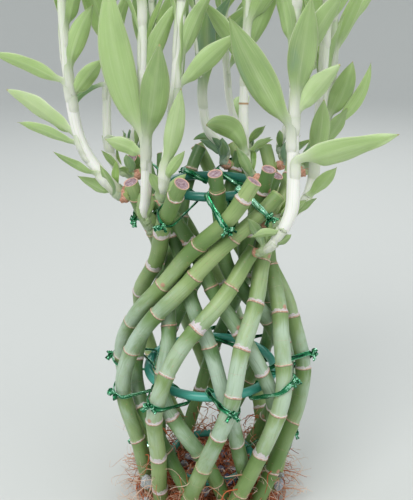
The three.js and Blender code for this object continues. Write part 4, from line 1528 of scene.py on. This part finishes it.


# The number after a shoot's leaves is its shade, which is painted shade: lower for the shoots at the back.
SHOOTS = (
    Shoot("shoot_01", "cane_outer_09", 10, 5.4,
          ((-80, -14, 290), (-86, -12, 297), (-95, -11, 311), (-101, -10, 329), (-105, -10, 364),
           (-106, -10, 392), (-106, -10, 419), (-103, -10, 436)),
          (Leaf(0.33, -109, 72, 20, 38, 14, tone=0.2), Leaf(0.3, -113, 62, 12, 21, 11),
           Leaf(0.56, -82, 60, 12, 36, 21, tone=0.2), Leaf(0.17, -74, 40, 7, 19, -20, tone=-0.2),
           Leaf(0.07, -98, 33, 11, 6, -26, tone=-0.3, blanch=0.4),
           Leaf(0.52, 85, 37, 14, 50, 4, tone=-0.15), Leaf(0.78, 110, 46, 14, 72, 10),
           Leaf(0.96, -60, 66, 15, 80, 22), Leaf(0.96, 130, 62, 15, 78, 24)), foot=1.05),
    Shoot("shoot_02", "cane_inner_03", 5, 4.4,
          ((-75, 14, 294), (-81, 14, 308), (-82, 15, 324), (-81, 15, 347), (-78, 15, 377),
           (-78, 16, 438)),
          (Leaf(0.28, 60, 42, 9, 12, 60), Leaf(0.52, -100, 46, 6, 10, 95),
           Leaf(0.66, -60, 70, 18, 78, 10), Leaf(0.8, 160, 60, 17, 60, 30),
           Leaf(0.96, 40, 62, 16, 76, 22), Leaf(0.96, -110, 64, 16, 74, 26)), 0.45),
    Shoot("shoot_03", "cane_outer_09", 36, 4.6,
          ((-52, -18, 264), (-50, -23, 277), (-49, -27, 289), (-48, -30, 305), (-48, -32, 330),
           (-49, -33, 356), (-48, -34, 383), (-47, -36, 419), (-46, -38, 440)),
          (Leaf(0.37, -95, 32, 14, 25, 6, tone=0.2), Leaf(0.4, -56, 118, 24, 63, -29, tone=0.1),
           Leaf(0.41, 23, 80, 22, 58, -12, tone=-0.2, cup=0.9), Leaf(0.66, 150, 66, 16, 70, 20),
           Leaf(0.87, -20, 60, 16, 70, 26), Leaf(0.96, 170, 62, 15, 78, 22),
           Leaf(0.12, -100, 19, 14, 84, -4, 17, tone=-0.2, cup=1.5, blanch=0.15)), foot=1.0),
    Shoot("shoot_04", "cane_inner_04", 5, 5.2,
          ((-37, -40, 286), (-35, -42, 297), (-31, -39, 318), (-27, -36, 350), (-24, -34, 380),
           (-21, -32, 419), (-20, -30, 440)),
          (Leaf(0.15, 60, 29, 8, 51, 0), Leaf(0.18, 33, 66, 15, 64, -9, tone=0.05, cup=1.1),
           Leaf(0.5, 130, 74, 18, 76, -10), Leaf(0.51, 92, 60, 16, 46, 7, tone=-0.05, cup=0.9),
           Leaf(0.8, 170, 64, 17, 62, 24), Leaf(0.94, -30, 66, 16, 78, 20),
           Leaf(0.94, 120, 60, 15, 70, 30))),
    Shoot("shoot_05", "cane_inner_08", 12, 4.6,
          ((12, 44, 302), (-2, 42, 318), (-7, 42, 340), (-8, 42, 363), (-11, 42, 400), (-9, 42, 436)),
          (Leaf(0.16, -110, 26, 8, 40, 70), Leaf(0.44, 30, 72, 17, 80, -6), Leaf(0.58, 80, 70, 16, 54, 12),
           Leaf(0.8, -120, 60, 16, 66, 20), Leaf(0.95, 30, 58, 15, 74, 24)), 0.3),
    Shoot("shoot_06", "cane_inner_06", 14, 4.4,
          ((30, -20, 295), (26, -12, 302), (25, -4, 315), (24, 0, 341), (25, 0, 378), (26, 0, 419),
           (24, 2, 442)),
          (Leaf(0.17, -75, 46, 19, 92, 100, tone=-0.12, cup=0.9, belly=0.62),
           Leaf(0.2, 110, 25, 8, 25, 10), Leaf(0.56, -110, 60, 16, 64, 16),
           Leaf(0.74, 60, 58, 16, 66, 20), Leaf(0.95, -60, 60, 15, 76, 22),
           Leaf(0.95, 140, 58, 15, 72, 26)), 0.5, (0.42,)),
    Shoot("shoot_07", "cane_outer_03", 1.5, 5.8,
          ((42, -55, 251), (50, -59, 264), (56, -58, 279), (57, -55, 296), (56, -50, 327),
           (56, -48, 368), (55, -46, 419), (57, -46, 436)),
          (Leaf(0.5, -85, 92, 23, 55, -10), Leaf(0.41, 72, 74, 21, 18, -3, tone=0.35, belly=0.36),
           Leaf(0.56, 72, 47, 18, 56, 10, tone=0.2, cup=1.3),
           Leaf(0.19, -77, 25, 8, -7, 6, tone=-0.05, cup=0.9),
           Leaf(0.13, 69, 15, 8, 25, -15, tone=-0.2, cup=0.9), Leaf(0.6, 50, 70, 20, 82, 0),
           Leaf(0.7, 100, 64, 18, 66, 14), Leaf(0.94, -80, 62, 16, 74, 22),
           Leaf(0.94, 60, 62, 16, 76, 22)), foot=0.5),
    Shoot("shoot_08", "cane_outer_02", 12, 5,
          ((67, -26, 273), (76, -14, 287), (78, -12, 313), (80, -12, 350), (81, -12, 392),
           (80, -12, 440)),
          (Leaf(0.22, 55, 36, 12, 44, -11, tone=0.15, cup=1.1),
           Leaf(0.35, 40, 50, 16, 80, -6, tone=0.1, cup=1.0), Leaf(0.62, -150, 60, 16, 66, 16),
           Leaf(0.8, 60, 66, 17, 74, 14), Leaf(0.95, -30, 58, 15, 76, 22)), 0.5),
    Shoot("shoot_09", "cane_outer_04", 10, 4.8,
          ((73, 12, 294), (81, 14, 306), (89, 16, 331), (92, 16, 366), (91, 16, 405),
           (88, 16, 440)),
          (Leaf(0.19, 80, 38, 13, 45, -18), Leaf(0.26, 80, 67, 11, 29, -57),
           Leaf(0.32, 59, 50, 18, 55, -24, tone=-0.1), Leaf(0.6, 120, 62, 16, 64, 22),
           Leaf(0.85, 50, 66, 17, 74, 16), Leaf(0.95, -100, 56, 14, 76, 24)), 0.55),
    Shoot("shoot_10", "cane_outer_05", 14, 4,
          ((58, 52, 306), (68, 50, 330), (76, 48, 372), (77, 46, 436)),
          (Leaf(0.3, 140, 60, 16, 50, 30), Leaf(0.5, 105, 62, 16, 60, 24), Leaf(0.7, -160, 60, 16, 66, 24),
           Leaf(0.94, 60, 58, 15, 74, 24)), 0.4),
    Shoot("shoot_11", "cane_outer_08", 8, 4,
          ((-66, 50, 306), (-58, 50, 334), (-47, 47, 376), (-48, 46, 438)),
          (Leaf(0.3, 165, 60, 16, 50, 30), Leaf(0.56, -30, 64, 16, 74, 6), Leaf(0.8, -165, 62, 16, 68, 22),
           Leaf(0.95, 60, 56, 15, 76, 22)), 0.25),
    Shoot("shoot_12", "cane_outer_06", 14, 4,
          ((32, 74, 300), (18, 78, 330), (11, 72, 388), (10, 70, 440)),
          (Leaf(0.26, 170, 58, 16, 40, 36), Leaf(0.52, 110, 60, 16, 62, 22),
           Leaf(0.66, -130, 62, 16, 62, 24), Leaf(0.8, 30, 58, 16, 70, 20),
           Leaf(0.95, -80, 58, 15, 74, 24)), 0.3),
)


@dataclass
class Foliage:
    """The 12 shoots, each a piece for its stem, one for the callus at its foot and one for its leaves.

    Stations and outline are a leaf's table of widths: shares of its length, and shares of its width.
    """

    thickness: float = 0.5
    across: int = 13
    rows: int = 34
    sheath_rows: int = 8
    turn: float = 70
    clasp: float = 1.9
    ruffle: float = 0.045
    keel: float = 0.5
    sheath_step: float = 0.14
    node_ridge: float = 0.3
    stem_rows: int = 150
    stem_sides: int = 28
    scales: int = 4
    low: float = 0.21
    crown_places: tuple[float, ...] = (0.62, 0.76)
    variety: float = 0.1
    stations: tuple[float, ...] = (0, 0.1, 0.22, 0.38, 0.52, 0.66, 0.8, 0.92, 1)
    outline: tuple[float, ...] = (0.36, 0.4, 0.62, 0.93, 1, 0.9, 0.62, 0.28, 0.02)
    seed: int = 20

    def stem(self, shoot: Shoot, draw: Draw) -> Surface:
        """A round bar that steps in where each sheath ends and has a thin ridge at each node line.

        Args:
            shoot: the shoot.
            draw: its random numbers.

        Returns:
            The closed surface.
        """
        line = shoot.line
        share = np.linspace(0, 1, self.stem_rows)[:, None]
        angle = circle(self.stem_sides)
        radius = shoot.stem_radius(share) * np.ones(self.stem_sides)
        ring = np.zeros_like(radius)
        for leaf in shoot.leaves:
            gap = (share - leaf.place) * line.length + 1.5 * np.cos(angle + leaf.bearing)
            radius -= self.sheath_step * ease(gap, 0, 2.0) * ease(gap, 26, 8)
        for place in shoot.rings:
            gap = (share - place) * line.length + 0.3 * np.cos(angle)
            ring = np.maximum(ring, bell(gap, 0, 0.9))
        radius += self.node_ridge * ring
        radius *= 1 + 0.02 * np.cos(2 * angle + 6 * share + draw.uniform(0, 6))
        radius[-6:] *= np.linspace(0.9, 0.25, 6)[:, None]
        along = share * line.length
        rings = swept(line, along[:, 0], radius, self.stem_sides, np.array([0.2, 1.0, 0.0]))
        grain = MM * xyz(radius * np.cos(angle), radius * np.sin(angle), along)
        grain = grain + (draw.uniform(0, 5), 0, 0)
        return Surface.tube(rings, grain=grain, run=share, ring=ring, tone=draw.random())

    def spine(self, shoot: Shoot, leaf: Leaf, s: Array) -> tuple[Array, Array, Array, Array]:
        """A leaf's middle line and its directions, over shares s of its blade.

        Within the sheath, s < 0, it is the stem's own line. From there it climbs at rise - droop s from
        level, in the plane of its bearing, and turns on its midrib by roll.

        Args:
            shoot: the shoot that it grows on.
            leaf: the leaf.
            s: -1 at the foot of its sheath, 0 where it leaves the stem and 1 at its tip.

        Returns:
            The points of its midrib, the unit vectors across it and out of its upper face, and the radius
            that its sheath wraps.
        """
        line = shoot.line
        lower, upper, blade = s[s < 0], s[s >= 0], np.maximum(s, 0)
        start = leaf.place * line.length
        sheath = min(leaf.sheath, start - 1.0)
        outward = polar(leaf.bearing, 1, 0)
        level = np.cross(UP, outward)
        climb = np.radians(leaf.rise - leaf.droop * upper)
        along = np.cos(climb)[:, None] * outward + np.sin(climb)[:, None] * UP
        steps = np.diff(upper, prepend=0)[:, None] * leaf.length
        path = line.at(start) + np.cumsum(along * steps, axis=0)
        below = start + lower * sheath
        centre = np.concatenate([line.at(below), path])
        heading = np.concatenate([line.heading(below), along])
        settle = ease(blade, 0, 0.12)[:, None]
        heading = unit(heading * settle + line.heading(start) * (1 - settle))
        roll = -math.radians(self.turn) * math.sin(math.radians(leaf.bearing)) * ease(blade, 0, 0.3)
        roll = (roll + math.radians(leaf.twist) * blade)[:, None]
        side = unit(level - (heading @ level)[:, None] * heading)
        face = unit(np.cross(heading, side))
        side, face = side * np.cos(roll) + face * np.sin(roll), face * np.cos(roll) - side * np.sin(roll)
        stem = shoot.stem_radius(np.clip((start + sheath * np.minimum(s, 0)) / line.length, 0, 1))
        stem = stem * (0.9 + 0.1 * ease(s, -1, -0.55)) + 0.4 * ease(s, -0.95, -0.6)
        beside = line.at(np.clip(start + path[:, 2] - path[0, 2], 0, line.length))
        away = (path - beside) @ outward * np.cos(roll[s >= 0, 0])
        ride = np.concatenate([stem[s < 0], np.maximum(stem[s >= 0] - away, 0)])
        return centre - face * ride[:, None], side, face, stem

    def leaf(self, shoot: Shoot, leaf: Leaf, draw: Draw) -> Surface:
        """One leaf as a thin closed wall over a grid (s along, t across).

        Its section is an arc of the clasp's angle round the stem within the sheath. Along the blade the
        arc opens to a shallow cup, the width follows the outline, and the margin waves by t^2.4 sin(k s).
        A face of the wall lies at arc radius r: r sin a across and r (1 - cos a) up from the midrib.

        Args:
            shoot: the shoot that it grows on.
            leaf: the leaf.
            draw: the random numbers of the shoot.

        Returns:
            The closed surface.
        """
        s = np.concatenate([
            np.linspace(-1, 0, self.sheath_rows, endpoint=False), np.linspace(0, 1, self.rows) ** 1.06,
        ])
        middle, side, face, stem = self.spine(shoot, leaf, s)
        blade = np.maximum(s, 0)
        open_out = ease(blade, 0.0, 0.24)
        outline = smooth(self.stations, self.outline, blade ** (math.log(0.5) / math.log(leaf.belly)))
        width = 2 * self.clasp * stem * (1 - open_out) + leaf.width * outline * open_out
        spread = self.clasp * (1 - open_out) + leaf.cup * (1 - 0.5 * blade) * open_out
        arc = (width / (2 * spread))[:, None]
        t = np.linspace(-1, 1, self.across)
        angle = spread[:, None] * t
        phase = draw.uniform(0, 2 * np.pi, 2)
        wave = np.sin(9 * s + phase[0]) + 0.6 * np.sin(17 * s + phase[1])
        ruffle = self.ruffle * leaf.width * ease(blade, 0.1, 0.4)[:, None] * wave[:, None]
        ruffle = ruffle * np.abs(t) ** 2.4 * np.sign(t)
        wall = self.thickness * (1 - 0.72 * t**4) * (0.35 + 0.65 * ease(1 - blade, 0, 0.2))[:, None]
        keel = self.keel * bell(t, 0, 0.07) * ease(1 - blade, 0.02, 0.5)[:, None] * open_out[:, None]
        sheets = []
        for reach, rib in ((arc - wall / 2, 0.0), (arc + wall / 2, keel)):
            lift = arc - reach * np.cos(angle) + ruffle - rib
            across = (reach * np.sin(angle))[..., None] * side[:, None]
            sheets.append(middle[:, None] + across + lift[..., None] * face[:, None])
        rings = np.concatenate([sheets[0], sheets[1][:, ::-1]], axis=1)
        both = np.concatenate([t, t[::-1]])
        run = (0.12 * (s + 1) * (s < 0) + (0.12 + 0.88 * blade) * (s >= 0))[:, None]
        grain = xyz(both * leaf.width * MM / 2 + draw.uniform(0, 5), run * leaf.length * MM, 0.0)
        # The tone adds the shoot's shade, which is painted shade on the shoots at the back.
        return Surface.tube(
            rings,
            grain=grain,
            run=run,
            side=both[None, :],
            blanch=leaf.blanch,
            under=np.repeat((0.0, 1.0), self.across)[None, :],
            tone=shoot.shade + leaf.tone + draw.normal(0, self.variety),
        )

    def basal(self, shoot: Shoot, draw: Draw) -> list[Leaf]:
        """Short scale leaves on the outer side of a shoot's foot, turned away from its cane.

        A shoot has fewer where its own leaves stand low, and a wide one wraps the foot where it has many.

        Args:
            shoot: the shoot.
            draw: its random numbers.

        Returns:
            The leaves.
        """
        leave = shoot.line.heading(3.0) * (1, 1, 0)
        outer = math.degrees(math.atan2(leave[0], -leave[1]))
        scales = max(0, self.scales - sum(leaf.place < self.low for leaf in shoot.leaves))
        leaves = []
        if scales > 2:
            leaves.append(Leaf(
                0.05, outer, draw.uniform(16, 24), 2.6 * shoot.radius, 84, -4, 6.0,
                tone=-0.2, cup=1.4, blanch=0.3,
            ))
        for i in range(scales):
            leaves.append(Leaf(
                0.05 + 0.03 * i, outer + (-1) ** i * draw.uniform(15, 95), draw.uniform(18, 34),
                draw.uniform(6, 9), draw.uniform(35, 70), draw.uniform(-15, 25), 5.0,
                draw.uniform(-15, 15), draw.uniform(-0.35, 0.05), 0.9, blanch=0.3,
            ))
        return leaves

    def crown(self, draw: Draw) -> list[Leaf]:
        """Long upright leaves that fill out the upper half of a shoot."""
        turn = draw.uniform(60, 130)
        return [
            Leaf(place, turn + 130 * i, draw.uniform(50, 64), draw.uniform(11, 15), draw.uniform(68, 80),
                 draw.uniform(0, 22), 22.0, draw.uniform(-25, 25), draw.uniform(-0.25, 0.2), 0.7)
            for i, place in enumerate(self.crown_places)
        ]

    def callus(self, shoot: Shoot, draw: Draw) -> Surface:
        """A rough collar round the foot of a stem: a bar, thick in its middle, with random points."""
        host = CANES[shoot.cane].layer.cane_radius
        at = np.linspace(0.25 * host, 0.95 * host + 3.0, 9)
        share = np.linspace(0, 1, len(at))
        radius = float(shoot.stem_radius(0.03)) * (0.9 + 0.32 * np.sin(np.pi * share) ** 0.8)
        radius = radius[:, None] * (1 + 0.07 * draw.standard_normal((len(at), 18)))
        rings = swept(shoot.line, at, radius, 18, UP + 0.01)
        return Surface.tube(rings)

    def dress(self) -> None:
        """Builds the stem, the callus and the leaves of every shoot."""
        stem_skin = StemSkin("shoot_stem_skin").build()
        leaf_skin = LeafSkin("shoot_leaf_skin").build()
        bark = CallusBark("shoot_callus_bark").build()
        for number, shoot in enumerate(SHOOTS):
            draw = np.random.default_rng(self.seed + number)
            self.stem(shoot, draw).put(f"{shoot.name}_stem", stem_skin, "shoot", shoot.name)
            self.callus(shoot, draw).put(f"{shoot.name}_callus", bark, "shoot")
            leaves = [*shoot.leaves, *self.basal(shoot, draw), *self.crown(draw)]
            blades = Surface.joined(self.leaf(shoot, leaf, draw) for leaf in leaves)
            blades.put(f"{shoot.name}_leaves", leaf_skin, "shoot", shoot.name)


# ---------------------------------------------------------------- studio
@dataclass
class Studio:
    """A pale floor that curves up far away, soft lights and the camera, all in metres.

    Lamps lists the name, the place, the power in watts and the width of each light.
    """

    camera: Point = (-0.004, -0.528, 0.413)
    pitch: float = 70.8
    lens: float = 49.75
    sensor: float = 36.0
    nearest: float = 0.02
    aim: Point = (0.0, 0.0, 0.22)
    air: Colour = (0.93, 0.97, 1.0, 1.0)
    air_strength: float = 0.8
    lamps: tuple[tuple[str, Point, float, float], ...] = (
        ("key_light", (-0.7, -1.2, 1.8), 24, 1.0),
        ("fill_light", (1.4, -0.9, 0.9), 5, 1.2),
        ("back_light", (0.3, 1.5, 1.6), 10, 1.2),
    )
    floor_radius: float = 3.0
    rim_height: float = 2.2

    def floor(self) -> None:
        """A round sheet: flat to its radius, then a quarter circle up."""
        bend = np.linspace(0, np.pi / 2, 16)
        flat = np.linspace(0.002, self.floor_radius, 8)
        out = np.concatenate([flat, self.floor_radius + self.rim_height * np.sin(bend)])
        high = np.concatenate([np.zeros(len(flat)), self.rim_height * (1 - np.cos(bend))])
        rings = polar(np.linspace(0, 360, 96, endpoint=False), out[:, None], high[:, None]) / MM
        rows, around = rings.shape[:2]
        index = np.arange(rows * around).reshape(rows, around)
        right = np.roll(index, -1, axis=1)
        quads = np.stack([index[:-1], index[1:], right[1:], right[:-1]], axis=-1).reshape(-1, 4)
        hub = np.stack([index[0], right[0], np.full(around, rows * around)], -1)
        points = np.vstack([rings.reshape(-1, 3), [[0, 0, 0]]])
        sheet = Surface(points, quads, hub, {"grain": points * MM})
        floor = bpy.data.objects.new("studio_floor", sheet.mesh("studio_floor", True))
        bpy.context.scene.collection.objects.link(floor)
        floor.data.materials.append(StudioFloor("studio_paper").build())

    def lamp(self, name: str, place: Point, power: float, size: float) -> None:
        """A square soft light that looks at the middle of the plant.

        Args:
            name: its name.
            place: where it hangs.
            power: in watts.
            size: the length of a side.
        """
        data = bpy.data.lights.new(name, "AREA")
        data.energy, data.size = power, size
        lamp = bpy.data.objects.new(name, data)
        heading = unit(np.array(self.aim) - place)
        yaw = math.atan2(heading[1], heading[0]) - math.pi / 2
        lamp.location = place
        lamp.rotation_euler = (math.acos(-heading[2]), 0.0, yaw)
        bpy.context.scene.collection.objects.link(lamp)

    def build(self) -> None:
        """Makes the camera, the world's light, the lamps and the floor."""
        scene = bpy.context.scene
        data = bpy.data.cameras.new("camera")
        data.lens, data.sensor_width, data.clip_start = self.lens, self.sensor, self.nearest
        camera = bpy.data.objects.new("camera", data)
        camera.location = self.camera
        camera.rotation_euler = (math.radians(self.pitch), 0.0, 0.0)
        scene.collection.objects.link(camera)
        scene.camera = camera
        world = bpy.data.worlds.new("studio_air")
        world.use_nodes = True
        air = world.node_tree.nodes["Background"].inputs
        air["Color"].default_value, air["Strength"].default_value = self.air, self.air_strength
        scene.world = world
        scene.view_settings.view_transform = "Standard"
        for name, place, power, size in self.lamps:
            self.lamp(name, place, power, size)
        self.floor()


def main() -> None:
    """Builds the studio and every piece of the plant in order."""
    logging.basicConfig(level=logging.INFO, format="%(name)s: %(message)s")
    Studio().build()
    Cage().dress()
    HoopSet().dress()
    Foil().dress()
    Roots().dress()
    Chips().dress()
    Foliage().dress()
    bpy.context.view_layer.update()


if __name__ == "__main__":
    main()
